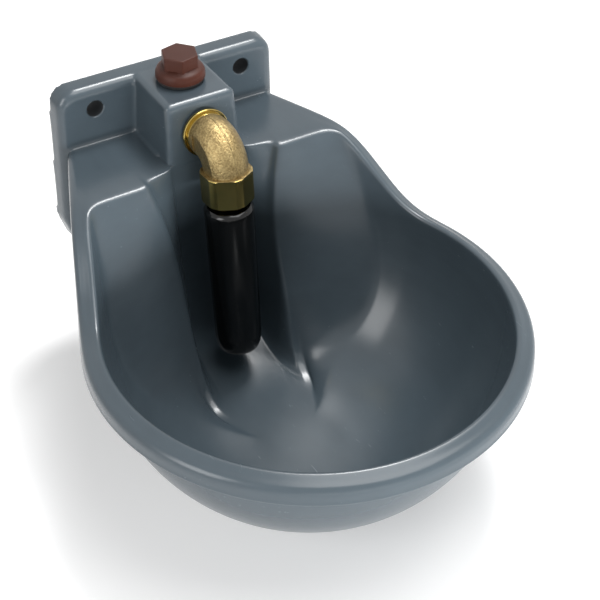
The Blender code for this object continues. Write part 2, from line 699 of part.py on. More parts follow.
def build_bowl(look):
    made = basin(look)
    combine(made, [wall_plate(), valve_block()], "UNION")
    tools = plate_pockets()
    tools.append(tee_cavity())
    for side in (-1.0, 1.0):
        x = side * BOLT_SPACING / 2.0
        tools.append(cylinder("bolt_hole", (x, -PLATE_DEPTH - OVERRUN, BOLT_HEIGHT), (x, OVERRUN,
                     BOLT_HEIGHT), BOLT_HOLE_RADIUS, SMALL_STEPS))
    top = BLOCK_TOP + OVERRUN
    tools.append(cylinder("top_port", (0.0, TEE_Y, BLOCK_TOP - BLOCK_ROOF - OVERRUN), (0.0, TEE_Y, top),
                 THREAD_RADIUS + GAP))
    face = Vector((0.0, block_face_y(PORT_HEIGHT), PORT_HEIGHT))
    forward = Vector((0.0, -math.cos(FACE_LEAN), math.sin(FACE_LEAN)))
    tools.append(cylinder("front_port", face - forward * (BLOCK_WALL + OVERRUN), face + forward * OVERRUN,
                 THREAD_RADIUS + GAP))
    combine(made, tools, "DIFFERENCE")
    tidy_mesh(made)
    if not made.data.materials:
        made.data.materials.append(look)
    smooth(made)
    return made


# Fittings in the valve block

def port_axis():
    """Centre of the leaning face's port and the direction out of it."""
    face = Vector((0.0, block_face_y(PORT_HEIGHT), PORT_HEIGHT))
    forward = Vector((0.0, -math.cos(FACE_LEAN), math.sin(FACE_LEAN)))
    return face, forward


def build_tee(look):
    face, forward = port_axis()
    top = BLOCK_TOP - BLOCK_ROOF - GAP
    branch_reach = (TEE_Y - face.y) / math.cos(FACE_LEAN)
    root = face - forward * branch_reach
    mouth = face - forward * (BLOCK_WALL + GAP)
    made = cylinder("inlet_tee", (0.0, TEE_Y, TEE_BOTTOM), (0.0, TEE_Y, top), TEE_RADIUS)
    made.data.materials.append(look)
    combine(made, [cylinder("branch", root, mouth, TEE_RADIUS - GAP)], "UNION")
    tools = [cylinder("bore", (0.0, TEE_Y, TEE_BOTTOM - OVERRUN), (0.0, TEE_Y, top + OVERRUN),
                      TEE_BORE_RADIUS),
             cylinder("top_socket", (0.0, TEE_Y, top - SOCKET_DEPTH), (0.0, TEE_Y, top + OVERRUN),
                      THREAD_RADIUS + GAP),
             cylinder("branch_bore", root, mouth + forward * OVERRUN, ELBOW_BORE_RADIUS),
             cylinder("branch_socket", mouth - forward * (SPIGOT_ENTRY + GAP), mouth + forward * OVERRUN,
                      THREAD_RADIUS + GAP)]
    combine(made, tools, "DIFFERENCE")
    tidy_mesh(made)
    smooth(made)
    return made


def build_plug(look, gasket_look):
    low = GAP + GASKET_THICKNESS + GAP
    collar_top = low + PLUG_COLLAR_EDGE
    hex_low = collar_top + PLUG_COLLAR_HEIGHT
    hex_top = hex_low + PLUG_HEX_HEIGHT
    corner = PLUG_HEX_FLATS / 2.0 / math.cos(math.pi / 6.0)
    steps = ROUND_STEPS + SMALL_STEPS

    def hex_ring(height, trimmed):
        return hexagon(PLUG_HEX_FLATS - trimmed, corner - trimmed, height, steps, PLUG_HEX_TURN)

    rings = [[(0.0, 0.0, hex_top)], hex_ring(hex_top, 2.0 * PLUG_CHAMFER),
             hex_ring(hex_top - PLUG_CHAMFER, 0.0), hex_ring(hex_low, 0.0)]
    for share in (0.0, 0.5, 1.0):
        angle = math.pi / 2.0 * (0.15 + 0.85 * share)
        base = corner + PLUG_CHAMFER
        radius = base + (PLUG_COLLAR_RADIUS - base) * math.sin(angle)
        height = collar_top + PLUG_COLLAR_HEIGHT * math.cos(angle)
        rings.append(turned_ring(radius, height, steps, PLUG_HEX_TURN))
    bottom = low - PLUG_SHANK_LENGTH
    for radius, height in ((PLUG_COLLAR_RADIUS, low), (THREAD_RADIUS, low), (THREAD_RADIUS, bottom),
                           (PLUG_BORE_RADIUS, bottom), (PLUG_BORE_RADIUS, hex_top - PLUG_CROWN)):
        rings.append(turned_ring(radius, height, steps, PLUG_HEX_TURN))
    rings.append([(0.0, 0.0, hex_top - PLUG_CROWN)])
    plug = loft("top_plug", rings, look)
    plug.location = (0.0, TEE_Y, BLOCK_TOP)
    smooth(plug)
    bore = THREAD_RADIUS + GAP
    gasket = lathe("plug_gasket", [(GASKET_RADIUS, GAP + GASKET_THICKNESS), (GASKET_RADIUS, GAP),
                                   (bore, GAP), (bore, GAP + GASKET_THICKNESS)], gasket_look)
    gasket.location = (0.0, TEE_Y, BLOCK_TOP)
    smooth(gasket)


def turned_ring(radius, height, steps, turn):
    return [polar(radius, 2.0 * math.pi * index / steps + turn, height) for index in range(steps)]


# Valve pieces, made in the valve's frame: Z against the flow, -Y out of the block

def valve_origin():
    face, forward = port_axis()
    return face + forward * ELBOW_REACH


def place_valve(made, along=0.0):
    """Lean a piece with the block's face. The piece's own origin lies `along` down the outlet axis."""
    made.rotation_euler = (-FACE_LEAN, 0.0, 0.0)
    down = Vector((0.0, -math.sin(FACE_LEAN), -math.cos(FACE_LEAN)))
    made.location = valve_origin() + down * along
    smooth(made)
    return made


def bend_ring(radius, angle, steps):
    """Ring of the bend: angle zero faces the block, a quarter turn faces down."""
    centre = Vector((0.0, ELBOW_BEND, -ELBOW_BEND))
    arm = Vector((0.0, -math.sin(angle), math.cos(angle)))
    middle = centre + arm * ELBOW_BEND
    side = Vector((1.0, 0.0, 0.0))
    return [tuple(middle + side * (radius * math.cos(2.0 * math.pi * index / steps))
                  + arm * (radius * math.sin(2.0 * math.pi * index / steps))) for index in range(steps)]


def spigot_ring(radius, reach, steps):
    """Ring across the inlet side, reach away from the outlet's axis towards the block."""
    return [(radius * math.cos(2.0 * math.pi * index / steps), reach,
             radius * math.sin(2.0 * math.pi * index / steps)) for index in range(steps)]


def outlet_ring(radius, depth, steps):
    return [(radius * math.cos(2.0 * math.pi * index / steps), -radius * math.sin(2.0 * math.pi * index
             / steps), -depth) for index in range(steps)]


def outlet_hexagon(trimmed, depth, steps):
    ring = hexagon(COLLAR_FLATS - 2.0 * trimmed, COLLAR_CORNER_RADIUS - trimmed, -depth, steps, 0.0)
    turned = []
    for index in range(steps):
        angle = 2.0 * math.pi * index / steps
        radius = math.hypot(*ring[(index + steps // 12) % steps][:2])
        turned.append((radius * math.cos(angle), -radius * math.sin(angle), -depth))
    return turned


def build_elbow(look, gasket_look):
    steps = ROUND_STEPS + SMALL_STEPS
    seat = ELBOW_REACH - GAP - ELBOW_GASKET_THICKNESS - GAP
    spigot_end = ELBOW_REACH + BLOCK_WALL + GAP + SPIGOT_ENTRY
    shoulder = seat - FLANGE_THICKNESS
    body = shoulder - SHOULDER_THICKNESS
    rings = [spigot_ring(THREAD_RADIUS, spigot_end, steps), spigot_ring(THREAD_RADIUS, seat, steps),
             spigot_ring(FLANGE_RADIUS, seat, steps), spigot_ring(FLANGE_RADIUS, shoulder, steps),
             spigot_ring(SHOULDER_RADIUS, shoulder, steps), spigot_ring(SHOULDER_RADIUS, body, steps),
             spigot_ring(ELBOW_RADIUS, body - SHOULDER_THICKNESS, steps)]
    for index in range(ELBOW_BEND_STEPS + 1):
        rings.append(bend_ring(ELBOW_RADIUS, math.pi / 2.0 * index / ELBOW_BEND_STEPS, steps))
    rings += [outlet_hexagon(COLLAR_CHAMFER, COLLAR_TOP, steps),
              outlet_hexagon(0.0, COLLAR_TOP + COLLAR_CHAMFER, steps),
              outlet_hexagon(0.0, COLLAR_BOTTOM - COLLAR_CHAMFER, steps),
              outlet_hexagon(COLLAR_CHAMFER, COLLAR_BOTTOM, steps),
              outlet_ring(THREAD_RADIUS + GAP, COLLAR_BOTTOM, steps),
              outlet_ring(THREAD_RADIUS + GAP, SOCKET_TOP, steps),
              outlet_ring(CHAMBER_RADIUS, SOCKET_TOP, steps),
              outlet_ring(CHAMBER_RADIUS, CHAMBER_TOP, steps)]
    for index in reversed(range(ELBOW_BEND_STEPS + 1)):
        rings.append(bend_ring(ELBOW_BORE_RADIUS, math.pi / 2.0 * index / ELBOW_BEND_STEPS, steps))
    rings.append(spigot_ring(ELBOW_BORE_RADIUS, spigot_end, steps))
    place_valve(loft("elbow", rings, look, joined_ends=True))
    low = ELBOW_REACH - GAP - ELBOW_GASKET_THICKNESS
    high = ELBOW_REACH - GAP
    bore = THREAD_RADIUS + GAP
    rings = [spigot_ring(GASKET_RADIUS, low, ROUND_STEPS), spigot_ring(GASKET_RADIUS, high, ROUND_STEPS),
             spigot_ring(bore, high, ROUND_STEPS), spigot_ring(bore, low, ROUND_STEPS)]
    place_valve(loft("elbow_gasket", rings, gasket_look, joined_ends=True))


def bush_top():
    return SOCKET_TOP + GAP + SEAT_GASKET_THICKNESS + GAP


def build_seat(look, rubber):
    top = bush_top()
    floor = top + RECESS_DEPTH
    place_valve(lathe("seat_gasket", [(THREAD_RADIUS, -SOCKET_TOP - GAP),
                                      (THREAD_RADIUS, -SOCKET_TOP - GAP - SEAT_GASKET_THICKNESS),
                                      (CHAMBER_RADIUS, -SOCKET_TOP - GAP - SEAT_GASKET_THICKNESS),
                                      (CHAMBER_RADIUS, -SOCKET_TOP - GAP)], rubber))
    place_valve(lathe("valve_seat", [(THREAD_RADIUS, -top), (THREAD_RADIUS, -COLLAR_BOTTOM + GAP),
                                     (NECK_RADIUS, -COLLAR_BOTTOM), (NECK_RADIUS, -NECK_BOTTOM),
                                     (SEAT_BORE_RADIUS, -NECK_BOTTOM), (SEAT_BORE_RADIUS, -floor),
                                     (RECESS_RADIUS, -floor), (RECESS_RADIUS, -top)], look))
    ring_low = -floor + GAP
    ring_high = -LIP_PLANE - RING_LIP_RISE
    place_valve(lathe("seat_ring", [(RECESS_RADIUS - GAP, ring_high), (RECESS_RADIUS - GAP, ring_low),
                                    (RING_LIP_INNER, ring_low), (RING_LIP_INNER, -LIP_PLANE),
                                    (RING_LIP_OUTER, -LIP_PLANE), (RING_LIP_OUTER + GAP, ring_high)],
                      rubber))


def head_top():
    """Depth of the valve head's upper face."""
    return LIP_PLANE - HEAD_GAP - HEAD_THICKNESS


def build_head(look):
    top = -head_top() + LIP_PLANE
    low = HEAD_GAP
    bore = STEM_RADIUS + GAP
    corner = HEAD_RADIUS - HEAD_EDGE_ROUND
    made = lathe("valve_head", [(bore, top), (corner, top), (HEAD_RADIUS, top - HEAD_EDGE_ROUND),
                                (HEAD_RADIUS, low + HEAD_EDGE_ROUND), (corner, low), (bore, low)], look)
    place_valve(made, LIP_PLANE)


def build_stem(look):
    cap_low = -head_top() + GAP
    cap_high = cap_low + STEM_CAP_HEIGHT
    shoulder_low = -HUB_TOP + GAP
    shoulder_high = shoulder_low + STEM_SHOULDER_HEIGHT
    end = -(nut_bottom() + STEM_END_REACH)
    profile = [(0.0, cap_high), (STEM_CAP_RADIUS - GAP, cap_high), (STEM_CAP_RADIUS, cap_high - GAP),
               (STEM_CAP_RADIUS, cap_low), (STEM_RADIUS, cap_low), (STEM_RADIUS, shoulder_high),
               (STEM_SHOULDER_RADIUS, shoulder_high), (STEM_SHOULDER_RADIUS, shoulder_low),
               (STEM_RADIUS, shoulder_low), (STEM_RADIUS, end + GAP), (STEM_RADIUS - GAP, end), (0.0, end)]
    moved = [(radius, height + LIP_PLANE) for radius, height in profile]
    place_valve(lathe("valve_stem", moved, look, SMALL_STEPS, joined_ends=False), LIP_PLANE)


def build_spring(look):
    low = -head_top() + GAP + SPRING_WIRE_RADIUS + LIP_PLANE
    high = -CHAMBER_TOP - GAP - SPRING_WIRE_RADIUS + LIP_PLANE
    count = SPRING_TURNS * SPRING_STEPS_PER_TURN
    rings = []
    for index in range(count + 1):
        share = index / count
        angle = 2.0 * math.pi * SPRING_TURNS * share
        radius = SPRING_NARROW_RADIUS + (SPRING_WIDE_RADIUS - SPRING_NARROW_RADIUS) * share
        middle = Vector(polar(radius, angle, low + (high - low) * share))
        outward = Vector((math.cos(angle), math.sin(angle), 0.0))
        ring = []
        for step in range(SPRING_WIRE_STEPS):
            turn = 2.0 * math.pi * step / SPRING_WIRE_STEPS
            ring.append(tuple(middle + outward * (SPRING_WIRE_RADIUS * math.cos(turn))
                              + Vector((0.0, 0.0, SPRING_WIRE_RADIUS * math.sin(turn)))))
        rings.append(ring)
        if index == 0:
            start = tuple(middle)
    rings.insert(0, [start])
    rings.append([tuple(middle)])
    place_valve(loft("valve_spring", rings, look), LIP_PLANE)


def washer_top():
    return HUB_TOP + HUB_THICKNESS + GAP


def nut_bottom():
    return washer_top() + WASHER_THICKNESS + GAP + NUT_HEIGHT


def build_tube(look, steel):
    hub_low = HUB_TOP + HUB_THICKNESS
    bore = STEM_RADIUS + GAP
    profile = [(TUBE_MOUTH_RADIUS + GAP, -TUBE_TOP), (TUBE_TOP_RADIUS - TUBE_TOP_CHAMFER, -TUBE_TOP),
               (TUBE_TOP_RADIUS, -TUBE_TOP - TUBE_TOP_CHAMFER)]
    for step in range(TUBE_END_ROUND_STEPS + 1):
        angle = math.pi / 2.0 * step / TUBE_END_ROUND_STEPS
        radius = TUBE_END_RADIUS - TUBE_END_ROUND * 0.6 * (1.0 - math.cos(angle))
        profile.append((radius, -TUBE_BOTTOM + TUBE_END_ROUND * (1.0 - math.sin(angle))))
    profile += [(TUBE_BORE_RADIUS, -TUBE_BOTTOM + GAP), (TUBE_BORE_RADIUS, -hub_low), (bore, -hub_low),
                (bore, -HUB_TOP), (TUBE_MOUTH_RADIUS, -HUB_TOP), (TUBE_MOUTH_RADIUS, -TUBE_TOP - GAP)]
    moved = [(radius, height + LIP_PLANE) for radius, height in profile]
    tube = lathe("drinking_tube", moved, look)
    tools = []
    for index in range(HUB_HOLE_COUNT):
        angle = 2.0 * math.pi * (index + 0.5) / HUB_HOLE_COUNT + HUB_HOLE_TURN
        x, y, z = polar(HUB_HOLE_CIRCLE, angle, LIP_PLANE - HUB_TOP)
        tools.append(cylinder("hub_hole", (x, y, z - HUB_THICKNESS - OVERRUN), (x, y, z + OVERRUN),
                              HUB_HOLE_RADIUS, SMALL_STEPS))
    combine(tube, tools, "DIFFERENCE")
    tidy_mesh(tube)
    place_valve(tube, LIP_PLANE)
    top = LIP_PLANE - washer_top()
    low = top - WASHER_THICKNESS
    place_valve(lathe("stem_washer", [(WASHER_RADIUS, top), (WASHER_RADIUS, low), (bore, low),
                                      (bore, top)], steel), LIP_PLANE)
    nut_top = low - GAP
    nut_low = nut_top - NUT_HEIGHT
    corner = NUT_FLATS / 2.0 / math.cos(math.pi / 6.0)
    steps = SMALL_STEPS + SMALL_STEPS // 2
    rings = [circle(bore, nut_top, steps), hexagon(NUT_FLATS, corner, nut_top, steps, 0.0),
             hexagon(NUT_FLATS, corner, nut_low, steps, 0.0), circle(bore, nut_low, steps)]
    place_valve(loft("stem_nut", rings, steel, joined_ends=True), LIP_PLANE)


def build():
    clear_scene()
    blue_grey = material("blue_grey_plastic", (0.105, 0.125, 0.150), 0.0, 0.35)
    brown = material("brown_plastic", (0.060, 0.022, 0.015), 0.0, 0.45)
    black = material("black_tube_plastic", (0.008, 0.008, 0.009), 0.0, 0.20)
    brass = material("cast_brass", (0.55, 0.37, 0.13), 1.0, 0.45)
    turned = material("turned_brass", (0.62, 0.45, 0.18), 1.0, 0.25)
    inlet = material("inlet_brass", (0.55, 0.39, 0.16), 1.0, 0.40)
    rubber = material("black_rubber", (0.015, 0.015, 0.015), 0.0, 0.80)
    steel = material("stainless_steel", (0.55, 0.55, 0.56), 1.0, 0.30)
    spring = material("spring_steel", (0.48, 0.48, 0.50), 1.0, 0.35)
    build_bowl(blue_grey)
    build_tee(inlet)
    build_plug(brown, rubber)
    build_elbow(brass, rubber)
    build_seat(turned, rubber)
    build_head(turned)
    build_stem(steel)
    build_spring(spring)
    build_tube(black, steel)


build()
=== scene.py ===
"""Looks of a wall-hung livestock drinking bowl with a tube valve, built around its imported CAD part."""
import cmath
import enum
import logging
import math
from collections.abc import Callable, Sequence
from dataclasses import dataclass
from typing import Union

import bmesh
import bpy
from mathutils import Matrix, Vector


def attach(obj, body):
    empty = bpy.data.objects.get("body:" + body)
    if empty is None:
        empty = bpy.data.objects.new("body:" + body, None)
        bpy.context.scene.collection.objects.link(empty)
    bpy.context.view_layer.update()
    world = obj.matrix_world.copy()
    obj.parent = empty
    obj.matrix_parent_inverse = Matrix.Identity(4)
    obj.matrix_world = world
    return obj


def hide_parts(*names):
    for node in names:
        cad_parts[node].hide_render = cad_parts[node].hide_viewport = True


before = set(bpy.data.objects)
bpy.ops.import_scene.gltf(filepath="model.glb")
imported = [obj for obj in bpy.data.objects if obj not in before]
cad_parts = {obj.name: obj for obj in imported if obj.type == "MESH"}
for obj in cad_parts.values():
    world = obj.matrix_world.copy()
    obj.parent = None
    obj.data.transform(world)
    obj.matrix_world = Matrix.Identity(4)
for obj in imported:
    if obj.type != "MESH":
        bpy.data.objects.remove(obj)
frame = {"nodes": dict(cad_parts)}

log = logging.getLogger("drinking_bowl")

Colour = tuple[float, float, float]
Point = tuple[float, float, float]
Place = tuple[float, float]
Piece = bpy.types.Object


class Body(enum.Enum):
    """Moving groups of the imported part."""

    BOWL = "bowl_assembly"
    SPRING = "spring_assembly"
    TUBE = "tube_assembly"


class Join(enum.Enum):
    """Ways of combining two closed pieces."""

    UNION = "UNION"
    CUT = "DIFFERENCE"
    KEEP_COMMON = "INTERSECT"


# Shader building


class Wave:
    """A number that varies over a surface. Arithmetic on it adds Math nodes."""

    def __init__(self, look: "Nodes", socket: bpy.types.NodeSocket) -> None:
        """Wrap a socket."""
        self.look = look
        self.socket = socket

    def _math(self, operation: str, first: "Number", second: "Number") -> "Wave":
        """Add one Math node."""
        made = self.look.node("ShaderNodeMath", {"operation": operation}, {0: first, 1: second})
        return Wave(self.look, made.outputs[0])

    def __add__(self, other: "Number") -> "Wave":
        """Sum."""
        return self._math("ADD", self, other)

    def __radd__(self, other: "Number") -> "Wave":
        """Sum with a plain number on the left."""
        return self._math("ADD", other, self)

    def __sub__(self, other: "Number") -> "Wave":
        """Difference."""
        return self._math("SUBTRACT", self, other)

    def __rsub__(self, other: "Number") -> "Wave":
        """Difference with a plain number on the left."""
        return self._math("SUBTRACT", other, self)

    def __mul__(self, other: "Number") -> "Wave":
        """Product."""
        return self._math("MULTIPLY", self, other)

    def __rmul__(self, other: "Number") -> "Wave":
        """Product with a plain number on the left."""
        return self._math("MULTIPLY", other, self)

    def size(self) -> "Wave":
        """Absolute value."""
        return self._math("ABSOLUTE", self, 0.0)

    def between(self, low: float, high: float) -> "Wave":
        """Rise from 0 at low to 1 at high, or fall where low is the larger one.

        Args:
            low: Value that gives 0.
            high: Value that gives 1.

        Returns:
            A number from 0 to 1.
        """
        made = self.look.node("ShaderNodeMapRange", {"clamp": True},
                              {"Value": self, "From Min": low, "From Max": high})
        return Wave(self.look, made.outputs[0])


Number = Union[Wave, float]


class Nodes:
    """Node tree of a material or of the surroundings."""

    def __init__(self, tree: bpy.types.NodeTree) -> None:
        """Start from an empty tree."""
        self.tree = tree
        self.tree.nodes.clear()

    def node(self, kind: str, settings: dict[str, object] | None = None,
             inputs: dict[str | int, object] | None = None) -> bpy.types.Node:
        """Add a node, set it up, and feed its sockets.

        Args:
            kind: Node type.
            settings: Node properties, set before its sockets.
            inputs: Socket name or number with its value, Wave or output socket.

        Returns:
            The node.
        """
        made = self.tree.nodes.new(kind)
        for name, value in (settings or {}).items():
            setattr(made, name, value)
        for key, value in (inputs or {}).items():
            self.feed(made.inputs[key], value)
        return made

    def feed(self, target: bpy.types.NodeSocket, value: object) -> None:
        """Link or set one input socket.

        Args:
            target: Input socket.
            value: Wave, output socket, colour or number.
        """
        if isinstance(value, Wave):
            value = value.socket
        if isinstance(value, bpy.types.NodeSocket):
            self.tree.links.new(value, target)
        elif isinstance(value, tuple) and target.type == "RGBA":
            target.default_value = (*value, 1.0)
        else:
            target.default_value = value

    def shown(self) -> Wave:
        """1 where the camera, a mirror or glass looks straight at it, 0 for the light it gives.

        Returns:
            A number from 0 to 1.
        """
        path = self.node("ShaderNodeLightPath")
        rays = [Wave(self, path.outputs[name])
                for name in ("Is Camera Ray", "Is Glossy Ray", "Is Transmission Ray")]
        return (rays[0] + rays[1] + rays[2]).between(0.0, 1.0)


class Look(Nodes):
    """Node tree of one material."""

    def __init__(self, name: str) -> None:
        """Start a material with one Principled shader.

        Args:
            name: Material name.
        """
        self.material = bpy.data.materials.new(name)
        self.material.use_nodes = True
        super().__init__(self.material.node_tree)
        self.shader = self.node("ShaderNodeBsdfPrincipled")
        self.output = self.node("ShaderNodeOutputMaterial", None, {"Surface": self.shader.outputs[0]})
        self.place = self.node("ShaderNodeTexCoord").outputs["Object"]

    def noise(self, scale: float, detail: float = 3.0, stretch: Point = (1.0, 1.0, 1.0),
              roughness: float = 0.5) -> Wave:
        """Cloudy pattern fixed to the piece.

        Args:
            scale: Patches per metre.
            detail: Octaves.
            stretch: Scale factors along the row's axes.
            roughness: Share of the finer octaves.

        Returns:
            A number around 0.5.
        """
        mapped = self.node("ShaderNodeMapping", None, {"Vector": self.place, "Scale": stretch})
        made = self.node("ShaderNodeTexNoise", None, {"Vector": mapped.outputs[0], "Scale": scale,
                                                       "Detail": detail, "Roughness": roughness})
        return Wave(self, made.outputs[0])

    def cells(self, scale: float) -> Wave:
        """Distance to scattered points, for grains and pits."""
        made = self.node("ShaderNodeTexVoronoi", None, {"Vector": self.place, "Scale": scale})
        return Wave(self, made.outputs["Distance"])

    def axis(self, number: int) -> Wave:
        """Object coordinate along one axis."""
        made = self.node("ShaderNodeSeparateXYZ", None, {0: self.place})
        return Wave(self, made.outputs[number])

    def blend(self, share: Number, low: object, high: object) -> bpy.types.NodeSocket:
        """Mix two colours.

        Args:
            share: 0 for the first colour, 1 for the second.
            low: First colour.
            high: Second colour.

        Returns:
            Colour socket.
        """
        made = self.node("ShaderNodeMix", {"data_type": "RGBA"})
        self.feed(made.inputs[0], share)
        self.feed(made.inputs[6], low)
        self.feed(made.inputs[7], high)
        return made.outputs[2]

    def bump(self, height: Number, distance: float) -> None:
        """Give the surface a fine relief, 0 to 1, of a depth in metres."""
        made = self.node("ShaderNodeBump", None, {"Height": height, "Distance": distance, "Strength": 1.0})
        self.feed(self.shader.inputs["Normal"], made.outputs[0])

    def surface(self, colour: object, roughness: Number, metallic: float = 0.0, **constants: float) -> None:
        """Set the main sockets.

        Args:
            colour: Base colour or colour socket.
            roughness: Roughness or Wave.
            metallic: 0 or 1.
            constants: Other sockets by name, with spaces written as underscores.
        """
        self.feed(self.shader.inputs["Base Color"], colour)
        self.feed(self.shader.inputs["Roughness"], roughness)
        self.shader.inputs["Metallic"].default_value = metallic
        for name, value in constants.items():
            self.shader.inputs[name.replace("_", " ")].default_value = value


def scaled(colour: Colour, factor: float) -> Colour:
    """Lighter or darker version of a colour."""
    return (colour[0] * factor, colour[1] * factor, colour[2] * factor)


@dataclass(frozen=True)
class MouldedPlastic:
    """Satin injection-moulded plastic with faint flow clouds, rub marks and painted shade in its bolt holes.
    """

    name: str
    colour: Colour
    roughness: float
    cloud_scale: float = 14.0
    cloud_share: float = 0.10
    skin_scale: float = 1500.0
    skin_depth: float = 0.00002
    streak_scale: float = 60.0
    scuff_scale: float = 420.0
    scuff_share: float = 0.06
    dust_scale: float = 900.0
    dust_share: float = 0.05
    wave_scale: float = 90.0
    specular: float = 0.5
    # Place and radius of the bolt holes, and how strongly painted shade darkens the plastic inside them.
    hole: Place = (0.0, 0.0)
    hole_radius: float = 0.0
    painted_hole_shade: float = 0.9

    def make(self) -> bpy.types.Material:
        """Build the material.

        Returns:
            The material.
        """
        look = Look(self.name)
        clouds = look.noise(self.cloud_scale, 4.0, roughness=0.6)
        streaks = look.noise(self.streak_scale, 5.0, (1.0, 0.35, 2.2), 0.65)
        tone = clouds.between(0.3, 0.7) * 0.7 + streaks.between(0.35, 0.65) * 0.3
        colour = look.blend(tone, scaled(self.colour, 1.0 - self.cloud_share),
                            scaled(self.colour, 1.0 + self.cloud_share))
        scuffs = look.noise(self.scuff_scale, 4.0, (1.0, 0.12, 1.0), 0.7).between(0.62, 0.78)
        dust = look.noise(self.dust_scale, 2.0).between(0.70, 0.80)
        colour = look.blend(scuffs * self.scuff_share + dust * self.dust_share, colour,
                            scaled(self.colour, 2.1))
        rough = tone * 0.06 + scuffs * 0.06 + (self.roughness - 0.03)
        # Painted shade: the plastic goes dark and rough inside the bolt holes, standing in for the shade in
        # the through-holes.
        if self.hole_radius:
            across = look.axis(0).size() - self.hole[0]
            up = look.axis(2) - self.hole[1]
            reach = across * across + up * up
            painted_hole_shade = reach.between((self.hole_radius * 1.04) ** 2, (self.hole_radius * 1.01) ** 2)
            colour = look.blend(painted_hole_shade * self.painted_hole_shade, colour, scaled(self.colour, 0.08))
            rough = rough + painted_hole_shade * 0.6
        look.surface(colour, rough, 0.0, Specular_IOR_Level=self.specular)
        look.bump(look.noise(self.skin_scale, 2.0) * 0.6 + look.noise(self.wave_scale, 2.0) * 0.8,
                  self.skin_depth)
        return look.material


@dataclass(frozen=True)
class CastBrass:
    """Sand-cast brass: grainy, with a darker skin in its hollows."""

    name: str
    colour: Colour
    shade: Colour
    grain_scale: float = 1050.0
    grain_depth: float = 0.00040
    patch_scale: float = 160.0
    seam_half: float = 0.0

    def make(self) -> bpy.types.Material:
        """Build the material.

        Returns:
            The material.
        """
        look = Look(self.name)
        grain = look.noise(self.grain_scale, 3.0, roughness=0.6)
        pits = look.cells(self.grain_scale * 0.55)
        patches = look.noise(self.patch_scale, 4.0, roughness=0.6).between(0.35, 0.65)
        dark = grain.between(0.62, 0.38) * 0.55 + patches * 0.30
        colour = look.blend(dark, self.colour, self.shade)
        look.surface(colour, grain.between(0.3, 0.7) * 0.14 + patches * 0.08 + 0.30, 1.0)
        height = grain * 0.8 + pits * 0.35
        if self.seam_half:
            height = height + look.axis(0).size().between(self.seam_half, self.seam_half * 0.4) * 0.9
        look.bump(height, self.grain_depth)
        return look.material


@dataclass(frozen=True)
class TurnedMetal:
    """Machined metal with fine tool marks."""

    name: str
    colour: Colour
    roughness: float
    mark_scale: float = 2600.0
    mark_depth: float = 0.000012
    tarnish: Colour = (0.30, 0.20, 0.07)
    tarnish_share: float = 0.25
    patch_scale: float = 120.0

    def make(self) -> bpy.types.Material:
        """Build the material.

        Returns:
            The material.
        """
        look = Look(self.name)
        marks = look.noise(self.mark_scale, 2.0, (0.05, 0.05, 1.0))
        patches = look.noise(self.patch_scale, 4.0, roughness=0.6).between(0.45, 0.75)
        colour = look.blend(patches * self.tarnish_share, self.colour, self.tarnish)
        look.surface(colour, marks.between(0.3, 0.7) * 0.05 + patches * 0.05 + self.roughness, 1.0)
        look.bump(marks, self.mark_depth)
        return look.material


@dataclass(frozen=True)
class Rubber:
    """Dull black rubber with a faint bloom."""

    name: str
    colour: Colour
    roughness: float = 0.75
    bloom_scale: float = 300.0
    skin_scale: float = 2500.0
    skin_depth: float = 0.00002

    def make(self) -> bpy.types.Material:
        """Build the material.

        Returns:
            The material.
        """
        look = Look(self.name)
        bloom = look.noise(self.bloom_scale, 3.0).between(0.45, 0.75)
        colour = look.blend(bloom * 0.5, self.colour, scaled(self.colour, 2.5))
        look.surface(colour, bloom * 0.1 + self.roughness, 0.0)
        look.bump(look.noise(self.skin_scale, 2.0), self.skin_depth)
        return look.material


Finish = Union[MouldedPlastic, CastBrass, TurnedMetal, Rubber]

# The bolt holes' place and radius set where the painted shade inside the holes falls.
BLUE_GREY = MouldedPlastic("blue_grey_plastic_look", (0.050, 0.067, 0.080), 0.24,
                           hole=(0.0425, 0.0197), hole_radius=0.0045)
BROWN = MouldedPlastic("brown_plastic_look", (0.046, 0.0135, 0.008), 0.48, 60.0, 0.18, 1800.0, 0.00004,
                       specular=0.22)
BLACK = MouldedPlastic("black_tube_look", (0.0018, 0.0018, 0.0018), 0.14, 30.0, 0.2, 1600.0, 0.00001,
                       specular=0.4)
CAST = CastBrass("cast_brass_look", (0.41, 0.315, 0.150), (0.15, 0.10, 0.040), seam_half=0.0005)
TURNED = TurnedMetal("turned_brass_look", (0.50, 0.38, 0.125), 0.12)
INLET = CastBrass("inlet_brass_look", (0.50, 0.35, 0.13), (0.22, 0.14, 0.05), 900.0)
SEAL = Rubber("black_rubber_look", (0.012, 0.012, 0.012))
STEEL = TurnedMetal("stainless_steel_look", (0.55, 0.55, 0.56), 0.26, tarnish=(0.35, 0.34, 0.33))
SPRING = TurnedMetal("spring_steel_look", (0.48, 0.48, 0.50), 0.30, tarnish=(0.30, 0.29, 0.28))


# Modelling steps


